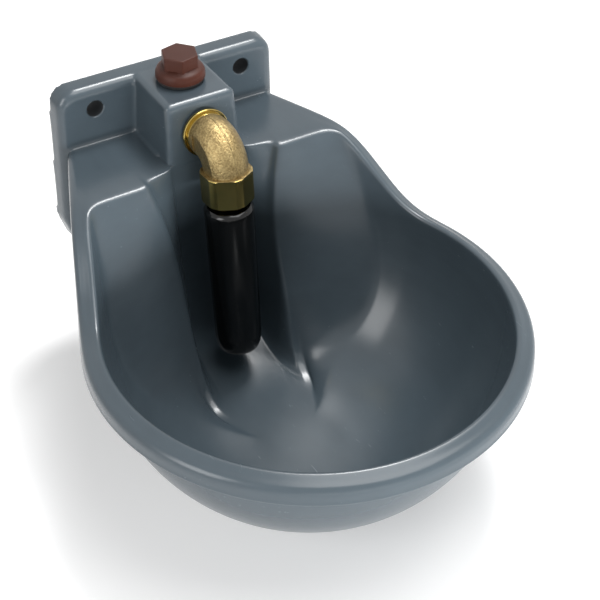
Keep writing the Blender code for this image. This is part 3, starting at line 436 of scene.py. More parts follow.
class Bench:
    """Modelling steps that repeat, each on one selected piece. Metres.

    MERGE is the distance within which points are one, FLAT the slack for points at one height.
    """

    MERGE = 0.000001
    FLAT = 0.00001

    @staticmethod
    def clear() -> None:
        """Leave edit mode and select nothing."""
        if bpy.context.object and bpy.context.object.mode != "OBJECT":
            bpy.ops.object.mode_set(mode="OBJECT")
        bpy.ops.object.select_all(action="DESELECT")

    @staticmethod
    def hold(piece: Piece) -> None:
        """Leave edit mode and select one piece alone.

        Args:
            piece: Piece to select.
        """
        Bench.clear()
        piece.select_set(True)
        bpy.context.view_layer.objects.active = piece

    @staticmethod
    def label(piece: Piece, name: str) -> Piece:
        """Name a piece and its mesh.

        Args:
            piece: Piece to name.
            name: New name.

        Returns:
            The piece.
        """
        piece.name = name
        piece.data.name = name
        return piece

    @staticmethod
    def add(name: str, operator: Callable[..., object], **settings: object) -> Piece:
        """Add a primitive.

        Args:
            name: Piece name.
            operator: Operator that adds it.
            settings: The operator's settings.

        Returns:
            The piece.
        """
        Bench.clear()
        operator(**settings)
        return Bench.label(bpy.context.object, name)

    @staticmethod
    def dress(piece: Piece, *materials: bpy.types.Material) -> None:
        """Replace a piece's materials.

        Args:
            piece: Piece to dress.
            materials: New materials.
        """
        piece.data.materials.clear()
        for material in materials:
            piece.data.materials.append(material)

    @staticmethod
    def edit(piece: Piece, mode: str) -> None:
        """Enter edit mode with nothing selected.

        Args:
            piece: Piece to edit.
            mode: VERT, EDGE or FACE.
        """
        Bench.hold(piece)
        bpy.ops.object.mode_set(mode="EDIT")
        bpy.ops.mesh.select_mode(type=mode)
        bpy.ops.mesh.select_all(action="DESELECT")

    @staticmethod
    def pick(piece: Piece, kind: str, test: Callable[[object], bool]) -> None:
        """Select parts of the edited mesh in code.

        Args:
            piece: Piece in edit mode.
            kind: verts, edges or faces.
            test: Says whether an element is selected.
        """
        mesh = bmesh.from_edit_mesh(piece.data)
        for element in filter(test, getattr(mesh, kind)):
            element.select_set(True)
        mesh.select_flush_mode()
        bmesh.update_edit_mesh(piece.data)

    @staticmethod
    def finish_edit(merge: float = 0.0) -> None:
        """Merge doubles if asked, turn normals outwards and leave edit mode.

        Args:
            merge: Merging distance in metres, or zero.
        """
        bpy.ops.mesh.select_mode(type="VERT")
        bpy.ops.mesh.select_all(action="SELECT")
        if merge:
            bpy.ops.mesh.remove_doubles(threshold=merge)
        bpy.ops.mesh.normals_make_consistent(inside=False)
        bpy.ops.object.mode_set(mode="OBJECT")

    @staticmethod
    def bevel(piece: Piece, kind: str, test: Callable[[object], bool], width: float, segments: int) -> None:
        """Round the edges or corners that pass a test.

        Args:
            piece: Piece to change.
            kind: verts or edges.
            test: Says whether an element is rounded.
            width: Width of the rounding.
            segments: Steps of the rounding.
        """
        corners = kind == "verts"
        Bench.edit(piece, "VERT" if corners else "EDGE")
        Bench.pick(piece, kind, test)
        bpy.ops.mesh.bevel(offset=width, segments=segments, affect="VERTICES" if corners else "EDGES")
        Bench.finish_edit()

    @staticmethod
    def modifier(piece: Piece, kind: str, **settings: object) -> None:
        """Add a modifier and apply it.

        Args:
            piece: Piece to change.
            kind: Modifier type.
            settings: Modifier properties.
        """
        Bench.hold(piece)
        step = piece.modifiers.new("step", kind)
        for name, value in settings.items():
            setattr(step, name, value)
        bpy.ops.object.modifier_apply(modifier=step.name)

    @staticmethod
    def combine(piece: Piece, tool: Piece, way: Join) -> None:
        """Combine two closed pieces and drop the second."""
        Bench.modifier(piece, "BOOLEAN", operation=way.value, object=tool, solver="EXACT")
        bpy.data.objects.remove(tool, do_unlink=True)

    @staticmethod
    def settle(piece: Piece) -> None:
        """Move a piece's place into its mesh."""
        Bench.hold(piece)
        bpy.ops.object.transform_apply(location=True, rotation=True, scale=True)

    @staticmethod
    def join(pieces: Sequence[Piece]) -> Piece:
        """Join pieces into the first.

        Args:
            pieces: Pieces to join.

        Returns:
            The joined piece.
        """
        Bench.clear()
        for piece in pieces:
            piece.select_set(True)
        bpy.context.view_layer.objects.active = pieces[0]
        bpy.ops.object.join()
        return pieces[0]

    @staticmethod
    def smooth(piece: Piece, degrees: float) -> None:
        """Shade a piece smooth up to an angle."""
        Bench.hold(piece)
        bpy.ops.object.shade_smooth_by_angle(angle=math.radians(degrees))

    @staticmethod
    def box(name: str, low: Point, high: Point) -> Piece:
        """Cube primitive at its size and place, for a cut.

        Args:
            name: Piece name.
            low: Lowest corner.
            high: Highest corner.

        Returns:
            The piece.
        """
        middle = [(a + b) / 2.0 for a, b in zip(low, high)]
        piece = Bench.add(name, bpy.ops.mesh.primitive_cube_add, size=1.0, location=middle)
        piece.scale = [b - a for a, b in zip(low, high)]
        Bench.settle(piece)
        return piece

    @staticmethod
    def rod(name: str, start: Vector, end: Vector, radius: float, steps: int = 64) -> Piece:
        """Cylinder primitive between two points, for a cut or a union.

        Args:
            name: Piece name.
            start: Middle of the first end.
            end: Middle of the second end.
            radius: Radius.
            steps: Sides.

        Returns:
            The piece.
        """
        axis = end - start
        piece = Bench.add(name, bpy.ops.mesh.primitive_cylinder_add, vertices=steps, radius=radius,
                          depth=axis.length, location=(start + end) / 2.0,
                          rotation=axis.to_track_quat("Z", "Y").to_euler())
        Bench.settle(piece)
        return piece

    @staticmethod
    def hexagon(name: str, flats: float, low: float, high: float, turn: float = 0.0) -> Piece:
        """Six-sided cylinder primitive about Z.

        Args:
            name: Piece name.
            flats: Distance across the flats.
            low: Height of the lower face.
            high: Height of the upper face.
            turn: Turn about Z.

        Returns:
            The piece.
        """
        piece = Bench.add(name, bpy.ops.mesh.primitive_cylinder_add, vertices=6, radius=hexagon_corner(flats),
                          depth=high - low, location=(0.0, 0.0, (low + high) / 2.0),
                          rotation=(0.0, 0.0, turn))
        Bench.settle(piece)
        return piece

    @staticmethod
    def turned(name: str, profile: Sequence[Place], steps: int) -> Piece:
        """Spin a closed profile about Z, as on a lathe.

        Args:
            name: Piece name.
            profile: Radius and height of each corner, in order round the section.
            steps: Steps of the full turn.

        Returns:
            The piece.
        """
        piece = Bench.add(name, bpy.ops.mesh.primitive_circle_add, vertices=len(profile), radius=1.0)
        for vertex, (radius, height) in zip(piece.data.vertices, profile):
            vertex.co = (radius, 0.0, height)
        Bench.edit(piece, "VERT")
        bpy.ops.mesh.select_all(action="SELECT")
        bpy.ops.mesh.spin(steps=steps, angle=2.0 * math.pi, center=(0.0, 0.0, 0.0), axis=(0.0, 0.0, 1.0))
        Bench.finish_edit(Bench.MERGE)
        return piece


def quarter_shares(steps: int = 8) -> list[float]:
    """Shares of a quarter turn, from 0 to 1."""
    return [step / steps for step in range(steps + 1)]


def hexagon_corner(flats: float) -> float:
    """Corner radius of a hexagon."""
    return flats / 2.0 / math.cos(math.pi / 6.0)


def smoothstep(share: float) -> float:
    """Ease from 0 to 1."""
    held = min(max(share, 0.0), 1.0)
    return held * held * (3.0 - 2.0 * held)


def table_value(at: float, keys: Sequence[float], values: Sequence[float]) -> float:
    """Read a table with straight lines between its entries.

    Args:
        at: Where to read.
        keys: Rising positions.
        values: Values at the positions.

    Returns:
        The value.
    """
    for low in range(len(keys) - 1):
        if at <= keys[low + 1]:
            share = (at - keys[low]) / (keys[low + 1] - keys[low])
            return values[low] + share * (values[low + 1] - values[low])
    return values[-1]


def mixed(start: complex, end: complex, share: float) -> complex:
    """Plan position between two others, start at share 0."""
    return start + (end - start) * share


@dataclass
class Rib:
    """One column of the bowl's control cage, from the floor over the rim to the underside."""

    inward: complex
    roll: float
    outer: complex
    outward: complex
    back: complex
    lip: float
    lip_roll: float
    shell_power: float
    walls: list[complex]


@dataclass
class Bowl:
    """Basin, shelves, rolled lip, valve block and wall plate: one plastic moulding.

    Sizes are metres. A plan position is a complex number: X is its real part and Y its imaginary part.
    """

    rim_centre_y: float = -0.153
    rim_radius: float = 0.110
    skirt_half: float = 0.061
    rim_width: float = 0.0105
    rear_wall_y: float = -0.0622
    corner_radius: float = 0.011
    front_roll: float = 0.0022
    rear_roll: float = 0.004
    wall: float = 0.0038
    shelf: float = 0.004
    inner_drop: float = 0.0335
    outer_drop: float = 0.0354
    floor_depth: float = 0.1225
    inner_swing: Place = (-0.058, -0.114)
    outer_swing: Place = (-0.0535, -0.1100)
    lip_height: float = 0.0101
    lip_thickness: float = 0.0028
    lip_roll: float = 0.0045
    bead_height: float = 0.0014
    bead_rise: float = 0.0003
    skirt_height: float = 0.050
    hidden_lip: float = 0.001
    hidden_roll: float = 0.0008
    front_floor_radius: float = 0.028
    crease_floor_radius: float = 0.030
    lobe_floor_y: float = -0.119
    crease_depths: tuple[float, ...] = (0.0, 0.18, 0.38, 0.55, 0.67, 0.73, 0.85, 0.92, 1.0)
    crease_bearings: tuple[float, ...] = (44.0, 40.3, 36.8, 34.0, 32.3, 33.0, 37.0, 41.5, 44.0)
    corner_depth: float = 0.45
    corner_ease: float = 1.6
    front_power: float = 1.87
    lobe_power: float = 2.8
    lobe_lean: float = 0.52
    channel_power: float = 5.0
    channel_lean: float = 0.305
    shell_rear_power: float = 6.0
    wall_rows: int = 8
    arc_columns: int = 16
    flank_columns: int = 4
    corner_columns: int = 4
    channel_top_y: float = -0.0503
    channel_floor_y: float = -0.092
    channel_top_half: float = 0.0213
    channel_floor_half: float = 0.0193
    foot_round: float = 0.0035
    foot_melt: float = 0.70
    ridge_recede: float = 0.006
    ridge_round: float = 0.0038
    ridge_half: float = 0.028
    plate_depth: float = 0.012
    plate_skin: float = 0.004
    plate_top: float = 0.0326
    plate_top_half: float = 0.0625
    plate_low: float = -0.046
    plate_low_half: float = 0.0652
    plate_bottom: float = -0.061
    plate_bottom_half: float = 0.060
    plate_edge_round: float = 0.0045
    plate_taper: float = 0.984
    plate_top_corner: float = 0.0095
    plate_low_corner: float = 0.009
    plate_top_turn: float = math.radians(46.0)
    plate_low_turn: float = math.radians(17.0)
    plate_rim: float = 0.0065
    plate_rib: float = 0.004
    shelf_rib_half: float = 0.0048
    bolt_spacing: float = 0.085
    bolt_height: float = 0.0197
    bolt_hole_radius: float = 0.0045
    bolt_hole_sink: float = 0.0006
    bolt_pad_half: float = 0.010
    block_top: float = 0.032
    block_top_half: float = 0.0194
    block_low: float = -0.003
    block_low_half: float = 0.0214
    block_face_y: float = -0.047
    block_edge_round: float = 0.0026
    block_wall: float = 0.0037
    block_roof: float = 0.0043
    face_lean: float = math.radians(6.0)
    port_height: float = 0.014
    tee_y: float = -0.025
    tee_radius: float = 0.0133
    port_radius: float = 0.0105
    pocket_round: float = 0.001
    overrun: float = 0.005
    overlap: float = 0.001
    block_segments: int = 6
    corner_segments: int = 8
    hole_steps: int = 48
    smooth_degrees: float = 42.0
    voxel: float = 0.001
    slab_half: float = 0.0585
    slab_front: float = -0.040
    slab_low: float = -0.0033
    slab_sink: float = 0.00002
    ridge_depths: tuple[float, ...] = (0.0, 0.09, 0.19, 0.36, 0.76, 0.94, 0.985, 1.0)
    ridge_widths: tuple[float, ...] = (1.30, 1.26, 1.07, 1.007, 1.0, 0.99, 0.965, 0.95)
    sweep_depths: tuple[float, ...] = (0.0, 0.83, 0.919, 0.98, 1.0)
    sweep_runs: tuple[float, ...] = (0.0, 0.0, 0.0, 0.0125, 0.0105)
    shelf_columns: tuple[float, ...] = (0.0, 0.14, 0.26, 0.34, 0.41, 0.49, 0.59, 0.66, 0.73, 0.81, 0.91)
    skirt_columns: tuple[float, ...] = (1.0, 0.96, 0.82, 0.67, 0.52)
    floor_rows: tuple[float, ...] = (0.40, 0.75)
    channel_columns: tuple[float, ...] = (0.0, 0.38, 0.72)
    lobe_columns: tuple[float, ...] = (0.28, 0.66)
    # Whether it follows the ridge or the foot, its shift, and the shift that fades towards the floor,
    # both in shares of the rounding.
    edge_shifts: tuple[tuple[bool, complex, complex], ...] = (
        (False, -0.3 - 0.2j, 0j), (False, 0.1 + 0j, -1j),
        (True, -0.32 + 0j, 1.3j), (True, 0j, 0.3j), (True, 0.92 + 0j, 0j))
    # Direction into the bowl, share of the rear roll or 0 for the hidden one, and offset of the outer wall
    # in wall thicknesses. The third is the column halfway between foot and crest.
    edge_turns: tuple[tuple[complex, float, complex], ...] = (
        (-0.3 - 1j, 0.0, 0.9 + 1j), (-0.3 - 1j, 0.0, 1 + 0.9j), (-0.35 - 1j, 0.6, 1 + 0.6j),
        (-0.8 - 0.6j, 1.0, 0.7 + 0.9j), (-0.5 - 0.85j, 1.0, 0.95 + 0.9j), (-0.15 - 1j, 1.0, 0.55 + 1j))

    def __post_init__(self) -> None:
        """Work out the flank's direction and the depth share of each wall row."""
        reach = -self.rim_centre_y - self.plate_depth
        self.flank = (math.atan2(reach, self.skirt_half)
                      - math.acos(self.rim_radius / math.hypot(self.skirt_half, reach)))
        self.outward = cmath.rect(1.0, self.flank)
        self.centre = complex(0.0, self.rim_centre_y)
        self.rim_inner = self.rim_radius - self.rim_width
        self.shares = [math.sin(math.pi / 2.0 * index / self.wall_rows) ** (2.0 / self.front_power)
                       for index in range(self.wall_rows + 1)]
        self.shares[-1] = 1.0
        self.plate_y = -self.plate_depth + self.plate_skin / 2.0 + self.hidden_lip

    def flank_point(self, inset: float, along: float) -> complex:
        """Point in from the right flank's outer edge and along it from the front arc."""
        return self.centre + complex(self.rim_radius - inset, along) * self.outward

    def flank_length(self, inset: float, to_y: float) -> float:
        """Length along the flank, at an inset, from the front arc to a Y."""
        return (to_y - self.flank_point(inset, 0.0).imag) / self.outward.real

    @staticmethod
    def run(share: float, lean: float, power: float) -> float:
        """Share of the way to the floor outline at a share of the depth: a lean and a rounding."""
        return lean * share + (1.0 - lean) * (1.0 - (1.0 - share ** power) ** (1.0 / power))

    def channel_ribs(self) -> list[Rib]:
        """Half of the channel, its side wall and its ridge, from the middle outwards.

        Returns:
            The ribs.
        """
        feet, ridges, fades = [], [], []
        for share in self.shares:
            fade = 1.0 - smoothstep((share - self.foot_melt) / (1.0 - self.foot_melt))
            run = self.run(share, self.channel_lean, self.channel_power)
            feet.append(complex(
                self.channel_top_half + (self.channel_floor_half - self.channel_top_half) * share,
                self.channel_top_y + (self.channel_floor_y - self.channel_top_y) * run
                - table_value(share, self.sweep_depths, self.sweep_runs)))
            run = self.run(share, self.lobe_lean, self.lobe_power)
            ridges.append(complex(
                self.ridge_half * table_value(share, self.ridge_depths, self.ridge_widths),
                self.rear_wall_y + (self.lobe_floor_y - self.rear_wall_y) * run
                + self.ridge_recede * (1.0 - fade)))
            fades.append(fade)
        ribs = [self.rear_rib(index, -1j, self.hidden_roll, self.wall * 1j,
                              [complex(foot.real * share, foot.imag) for foot in feet])
                for index, share in enumerate(self.channel_columns)]
        edges = []
        for on_ridge, shift, fading in self.edge_shifts:
            line, size = (ridges, self.ridge_round) if on_ridge else (feet, self.foot_round)
            edges.append([place + (shift + fading * fade) * size for place, fade in zip(line, fades)])
        edges.insert(2, [mixed(foot, crest, 0.5) for foot, crest in zip(edges[1], edges[2])])
        for (inward, roll, back), walls in zip(self.edge_turns, edges):
            ribs.append(self.rear_rib(len(ribs), inward, roll * self.rear_roll or self.hidden_roll,
                                      back * self.wall, walls))
        return ribs

    def rear_rib(self, index: int, inward: complex, roll: float, back: complex, walls: list[complex]) -> Rib:
        """Rib whose shelf runs into the wall plate.

        Args:
            index: Place in the row of shelf columns.
            inward: Plan direction into the bowl.
            roll: Radius of the upper roll.
            back: Offset of the outer wall.
            walls: Plan positions down the wall.

        Returns:
            The rib.
        """
        outer = complex(self.shelf_columns[index] * (self.skirt_half - self.hidden_lip), self.plate_y)
        return Rib(inward, roll, outer, 1j, back, self.shelf + self.hidden_lip, self.hidden_roll,
                   self.shell_rear_power, walls)

    def corner_place(self, index: int, start_x: float) -> complex:
        """Plan position of a rib on the rear corner's rounding, which starts at an X."""
        angle = math.pi / 2.0 - (math.pi / 2.0 - self.flank) * index / self.corner_columns
        return complex(start_x, self.rear_wall_y - self.corner_radius) + cmath.rect(self.corner_radius, angle)

    def basin_radius(self, height: float) -> float:
        """Radius of the round basin.

        Args:
            height: Z of the row.

        Returns:
            Metres.
        """
        rim = -self.inner_drop - self.front_roll
        share = min(max((rim - height) / (rim + self.floor_depth), 0.0), 1.0)
        return self.rim_inner + ((self.front_floor_radius - self.rim_inner)
                                 * self.run(share, 0.0, self.front_power))

    def side_place(self, along: float, start: complex, height: float) -> complex:
        """Place on the side wall, between the lobe's crease and the end of the flank.

        Args:
            along: 0 at the crease, 1 at the end of the flank.
            start: Plan position of the same rib at the rim.
            height: Z of the row.

        Returns:
            Plan position.
        """
        share = -height / self.floor_depth
        crease = math.radians(table_value(share, self.crease_depths, self.crease_bearings))
        low = (self.crease_floor_radius - self.front_floor_radius) * (1.0 - along) ** 2
        radius = max(self.basin_radius(height), self.front_floor_radius + low)
        round_place = self.centre + cmath.rect(radius, crease + (self.flank - crease) * along)
        return mixed(start, round_place, self.settled(height))

    def settled(self, height: float) -> float:
        """How far the rear corner has melted into the round basin at a height."""
        share = min(max(-height / self.floor_depth / self.corner_depth, 0.0), 1.0)
        return 1.0 - (1.0 - share) ** self.corner_ease

    def row_heights(self, start: complex, inward: complex, roll: float) -> list[float]:
        """Height of each wall row of a rib from its wall at the rim, its direction and its upper roll."""
        top_z = self.swing((start - inward * roll).imag, self.inner_swing, self.inner_drop) - roll
        return [top_z - (top_z + self.floor_depth) * share for share in self.shares]

    def half_ribs(self) -> list[Rib]:
        """All ribs of the right half, from the middle of the rear to the middle of the front.

        Returns:
            The ribs.
        """
        ribs = self.channel_ribs()
        ridge = ribs[-1].walls
        turn = math.pi / 2.0 - self.flank
        cut = self.corner_radius * math.tan(turn / 2.0)
        inner_length = self.flank_length(self.rim_width, self.rear_wall_y)
        outer_length = self.flank_length(0.0, -self.plate_depth)
        start_x = self.flank_point(self.rim_width, inner_length).real - cut
        total = self.corner_columns + self.flank_columns
        corner_end = self.corner_place(self.corner_columns, start_x)
        lead = len(self.lobe_columns) + 1
        for index in range(1 - lead, total + 1):
            blend = smoothstep((index + lead) / (total + lead))
            along = (index - self.corner_columns) / self.flank_columns
            if index < 0:
                inward = -1j
                start = complex(ridge[0].real + (start_x - ridge[0].real) * self.lobe_columns[index],
                                self.rear_wall_y)
            elif along <= 0.0:
                inward = -cmath.rect(1.0, math.pi / 2.0 - turn * index / self.corner_columns)
                start = self.corner_place(index, start_x)
                reach = self.skirt_columns[index]
            else:
                inward = -self.outward
                start = self.flank_point(self.rim_width, (inner_length - cut) * (1.0 - along))
                reach = self.skirt_columns[-1] * (1.0 - along)
            roll = self.rear_roll + (self.front_roll - self.rear_roll) * blend
            walls = []
            for height, low_ridge in zip(self.row_heights(start, inward, roll), ridge):
                if along >= 0.0:
                    walls.append(self.side_place(along, start, height))
                    continue
                share = (index + lead) / (self.corner_columns + lead)
                chord = mixed(low_ridge, self.side_place(0.0, corner_end, height), share)
                top_chord = mixed(ridge[0], corner_end, share)
                walls.append(chord + (start - top_chord) * (1.0 - self.settled(height)))
            walls[0] = start
            if index < 0:
                ribs.append(self.rear_rib(len(ribs), inward, roll, self.wall * 1j, walls))
                continue
            outer = self.flank_point(0.0, outer_length * reach)
            if index == 0:
                outer = complex(self.skirt_half - self.hidden_lip, self.plate_y - self.hidden_lip / 2.0)
            lip = self.lip_height + (self.skirt_height - self.lip_height) * smoothstep(reach)
            power = self.shell_rear_power + (self.front_power - self.shell_rear_power) * blend
            ribs.append(Rib(inward, roll, outer, self.outward, -inward * self.wall, lip, self.lip_roll, power,
                            walls))
        for index in range(1, self.arc_columns + 1):
            angle = self.flank - (self.flank + math.pi / 2.0) * index / self.arc_columns
            ray = cmath.rect(1.0, angle) if index < self.arc_columns else -1j
            start = self.centre + ray * self.rim_inner
            end = self.centre + ray * self.front_floor_radius
            walls = [mixed(start, end, self.run(share, 0.0, self.front_power)) for share in self.shares]
            ribs.append(Rib(-ray, self.front_roll, self.centre + ray * self.rim_radius, ray, ray * self.wall,
                            self.lip_height, self.lip_roll, self.front_power, walls))
        return ribs

    def rib_points(self, rib: Rib) -> list[Point]:
        """Control points of one rib.

        Args:
            rib: The rib.

        Returns:
            Points from the middle of the floor over the rim to the middle of the underside.
        """
        inward = rib.inward / abs(rib.inward)
        top = rib.walls[0] - inward * rib.roll
        inner_z = self.swing(top.imag, self.inner_swing, self.inner_drop)
        outer_z = self.swing(rib.outer.imag, self.outer_swing, self.outer_drop)
        heights = self.row_heights(rib.walls[0], inward, rib.roll)
        floor = [mixed(self.centre, rib.walls[-1], share) for share in (0.0, *self.floor_rows)]
        cage = [(place, -self.floor_depth) for place in floor]
        cage += zip(reversed(rib.walls), reversed(heights))
        half = math.sin(math.pi / 4.0)
        cage += [(top + inward * rib.roll * half, inner_z - rib.roll * (1.0 - half)), (top, inner_z)]
        edge = rib.outer - rib.outward * rib.lip_roll
        cage += [(mixed(top, edge, 0.5), (inner_z + outer_z) / 2.0), (edge, outer_z)]
        bead = 0.0 if rib.lip_roll == self.hidden_roll else self.bead_rise
        for angle in (math.pi / 6.0, math.pi / 3.0, math.pi / 2.0):
            cage.append((edge + rib.outward * (rib.lip_roll - bead) * math.sin(angle),
                         outer_z - rib.lip_roll * (1.0 - math.cos(angle))))
        low_z = outer_z - rib.lip
        if bead:
            cage += [(rib.outer - rib.outward * bead, low_z + self.bead_height * 1.5),
                     (rib.outer, low_z + self.bead_height)]
        else:
            cage += [(rib.outer, low_z + self.hidden_lip * share) for share in (0.8, 0.5)]
        behind = rib.outer - rib.outward * self.lip_thickness
        cage += [(rib.outer, low_z), (behind, low_z), (behind, outer_z - self.shelf),
                 (top + rib.back, inner_z - self.shelf)]
        for place, height, share in list(zip(rib.walls, heights, self.shares))[1:]:
            kept = (1.0 - share ** rib.shell_power) ** (1.0 / rib.shell_power)
            cage.append((place + rib.back * kept, height - self.wall * share))
        cage += [(place, -self.floor_depth - self.wall) for place in reversed(floor)]
        return [(place.real, place.imag, height) for place, height in cage]

    @staticmethod
    def swing(place_y: float, span: Place, drop: float) -> float:
        """Height of the rim at a Y, where it swings down from the shelves over a span of Y."""
        return -drop * smoothstep((place_y - span[0]) / (span[1] - span[0]))

    def basin(self) -> Piece:
        """Bend a grid into the control cage of the basin, close it and subdivide it.

        Returns:
            The basin.
        """
        right = [self.rib_points(rib) for rib in self.half_ribs()]
        left = [[(-x, y, z) for x, y, z in points] for points in right[1:-1]]
        ribs = right + left[::-1]
        rows = len(ribs[0])
        piece = Bench.add("basin", bpy.ops.mesh.primitive_grid_add, x_subdivisions=len(ribs),
                          y_subdivisions=rows - 1, size=1.0)
        for vertex in piece.data.vertices:
            column = round((vertex.co.x + 0.5) * len(ribs)) % len(ribs)
            row = round((vertex.co.y + 0.5) * (rows - 1))
            vertex.co = ribs[column][row]
        Bench.edit(piece, "VERT")
        Bench.finish_edit(2.0 * Bench.MERGE)
        Bench.modifier(piece, "SUBSURF", levels=2, render_levels=2)
        return piece

    def wall_plate(self) -> Piece:
        """Six-cornered plate with rounded corners and a rounded front edge.

        Returns:
            The plate.
        """
        piece = Bench.add("wall_plate", bpy.ops.mesh.primitive_circle_add, vertices=6, radius=1.0,
                          fill_type="NGON")
        corners = [(self.plate_top_half, self.plate_top), (-self.plate_top_half, self.plate_top),
                   (-self.plate_low_half, self.plate_low), (-self.plate_bottom_half, self.plate_bottom),
                   (self.plate_bottom_half, self.plate_bottom), (self.plate_low_half, self.plate_low)]
        for vertex, (x, z) in zip(piece.data.vertices, corners):
            vertex.co = (x, 0.0, z)
        for radius, upper, turn in ((self.plate_top_corner, True, self.plate_top_turn),
                                    (self.plate_low_corner, False, self.plate_low_turn)):
            Bench.bevel(piece, "verts", lambda v: (v.co.z > 0.0) == upper, radius * math.tan(turn),
                        self.corner_segments)
        Bench.edit(piece, "FACE")
        bpy.ops.mesh.select_all(action="SELECT")
        bpy.ops.mesh.extrude_region_move(TRANSFORM_OT_translate={"value": (0.0, -self.plate_depth, 0.0)})
        bpy.ops.transform.resize(value=(self.plate_taper, 1.0, self.plate_taper),
                                 center_override=(0.0, 0.0, 0.0))
        Bench.finish_edit(Bench.MERGE)
        front = -self.plate_depth + self.hidden_lip
        Bench.bevel(piece, "edges", lambda e: all(v.co.y < front for v in e.verts), self.plate_edge_round,
                    self.block_segments)
        return piece

    def valve_block(self) -> Piece:
        """Cube pulled to the block's leaning shape, with its outer edges rounded.

        Returns:
            The block.
        """
        rear = -self.plate_depth + self.plate_skin / 2.0
        piece = Bench.box("valve_block", (-1.0, -1.0, -1.0), (1.0, 1.0, 1.0))
        for vertex in piece.data.vertices:
            high = vertex.co.z > 0.0
            half = self.block_top_half if high else self.block_low_half
            z = self.block_top if high else self.block_low
            y = self.face_y(z) if vertex.co.y < 0.0 else rear
            vertex.co = (math.copysign(half, vertex.co.x), y, z)
        Bench.bevel(piece, "edges", self.is_open_block_edge, self.block_edge_round, self.block_segments)
        return piece

    def is_open_block_edge(self, edge: bmesh.types.BMEdge) -> bool:
        """Tell the block's rounded edges from those inside the moulding.

        Args:
            edge: Edge of the block.

        Returns:
            True for the edges of the top and the front corners.
        """
        first, second = (v.co for v in edge.verts)
        middle_y = (first.y + second.y) / 2.0
        upright = abs(first.z - second.z) > self.shelf
        if upright:
            return middle_y < self.face_y(self.block_top) + self.shelf
        return min(first.z, second.z) > 0.0 and middle_y < -self.plate_depth

    def face_y(self, height: float) -> float:
        """Plan depth of the block's leaning face at a height."""
        return self.block_face_y - (self.block_top - height) * math.tan(self.face_lean)

    def cutters(self) -> Piece:
        """Pockets, tee space, ports and bolt holes as one tool.

        Returns:
            The tool.
        """
        depth = self.plate_depth - self.plate_skin
        tops = self.plate_top - self.plate_rim
        reach = self.bolt_spacing / 2.0
        half, rib = self.plate_bottom_half / 2.0, self.plate_rib / 2.0
        low, rest = self.plate_bottom + self.plate_rim, self.shelf_rib_half
        spans = [(-self.block_top_half, self.block_top_half, rest, tops)]
        for side in (-1.0, 1.0):
            for first, last, bottom, top in (
                    (self.block_top_half + self.plate_rib, reach - self.bolt_pad_half, rest, tops),
                    (reach + self.bolt_pad_half, self.plate_top_half - self.plate_rim, rest,
                     tops - self.plate_rim),
                    (rib, half - rib, low, -rest),
                    (half + rib, self.plate_bottom_half - self.plate_rim, low, -rest)):
                spans.append((*sorted((side * first, side * last)), bottom, top))
        tools = []
        for x_low, x_high, z_low, z_high in spans:
            tool = Bench.box("pocket", (x_low, -depth, z_low), (x_high, self.overrun, z_high))
            Bench.modifier(tool, "BEVEL", width=self.pocket_round, segments=2)
            tools.append(tool)
        narrow, wide = self.bolt_hole_radius, self.bolt_hole_radius + self.bolt_hole_sink
        start, end = -self.overrun, self.plate_depth + self.overrun
        profile = ((0.0, start), (narrow, start), (narrow, self.plate_depth - self.bolt_hole_sink),
                   (wide, self.plate_depth), (wide, end), (0.0, end))
        for side in (-1.0, 1.0):
            hole = Bench.turned("bolt_hole", profile, self.hole_steps)
            hole.rotation_euler = (math.pi / 2.0, 0.0, 0.0)
            hole.location = (side * reach, 0.0, self.bolt_height)
            Bench.settle(hole)
            tools.append(hole)
        forward, face, tee = self.forward(), self.port(), self.tee_space()
        for name, inner, outer in (
                ("top_port", Vector((0.0, self.tee_y, self.block_top - self.block_roof - self.overlap)),
                 Vector((0.0, self.tee_y, self.block_top + self.overrun))),
                ("front_port", face - forward * (self.block_wall + self.overlap),
                 face + forward * self.overrun)):
            Bench.combine(tee, Bench.rod(name, inner, outer, self.port_radius), Join.UNION)
        return Bench.join([*tools, tee])

    def tee_space(self) -> Piece:
        """Space for the inlet tee, open below.

        Returns:
            The tool.
        """
        low = -self.floor_depth / 2.0
        high = self.block_top - self.block_roof
        inner = self.block_wall / math.cos(self.face_lean)
        piece = Bench.box("tee_space", (-1.0, -1.0, -1.0), (1.0, 1.0, 1.0))
        for vertex in piece.data.vertices:
            z = high if vertex.co.z > 0.0 else low
            y = self.face_y(z) + inner if vertex.co.y < 0.0 else self.tee_y + self.tee_radius
            vertex.co = (math.copysign(self.tee_radius, vertex.co.x), y, z)
        return piece

    def forward(self) -> Vector:
        """Direction out of the block's leaning face."""
        return Vector((0.0, -math.cos(self.face_lean), math.sin(self.face_lean)))

    def port(self) -> Vector:
        """Centre of the front port on the leaning face."""
        return Vector((0.0, self.face_y(self.port_height), self.port_height))

    def build(self) -> Piece:
        """Fuse basin, plate and block, melt their joints together and cut the openings.

        Returns:
            The moulding.
        """
        rear = self.wall_plate()
        Bench.combine(rear, self.valve_block(), Join.UNION)
        slab = Bench.box("shelf_slab", (-self.slab_half, self.slab_front, self.slab_low),
                         (self.slab_half, self.plate_y, -self.slab_sink))
        Bench.combine(rear, slab, Join.UNION)
        Bench.modifier(rear, "REMESH", mode="VOXEL", voxel_size=self.voxel, adaptivity=0.0)
        Bench.modifier(rear, "SMOOTH", factor=0.5, iterations=3)
        piece = self.basin()
        Bench.combine(piece, rear, Join.UNION)
        Bench.combine(piece, self.cutters(), Join.CUT)
        Bench.dress(piece, BLUE_GREY.make())
        Bench.smooth(piece, self.smooth_degrees)
        return Bench.label(piece, "bowl_moulding")


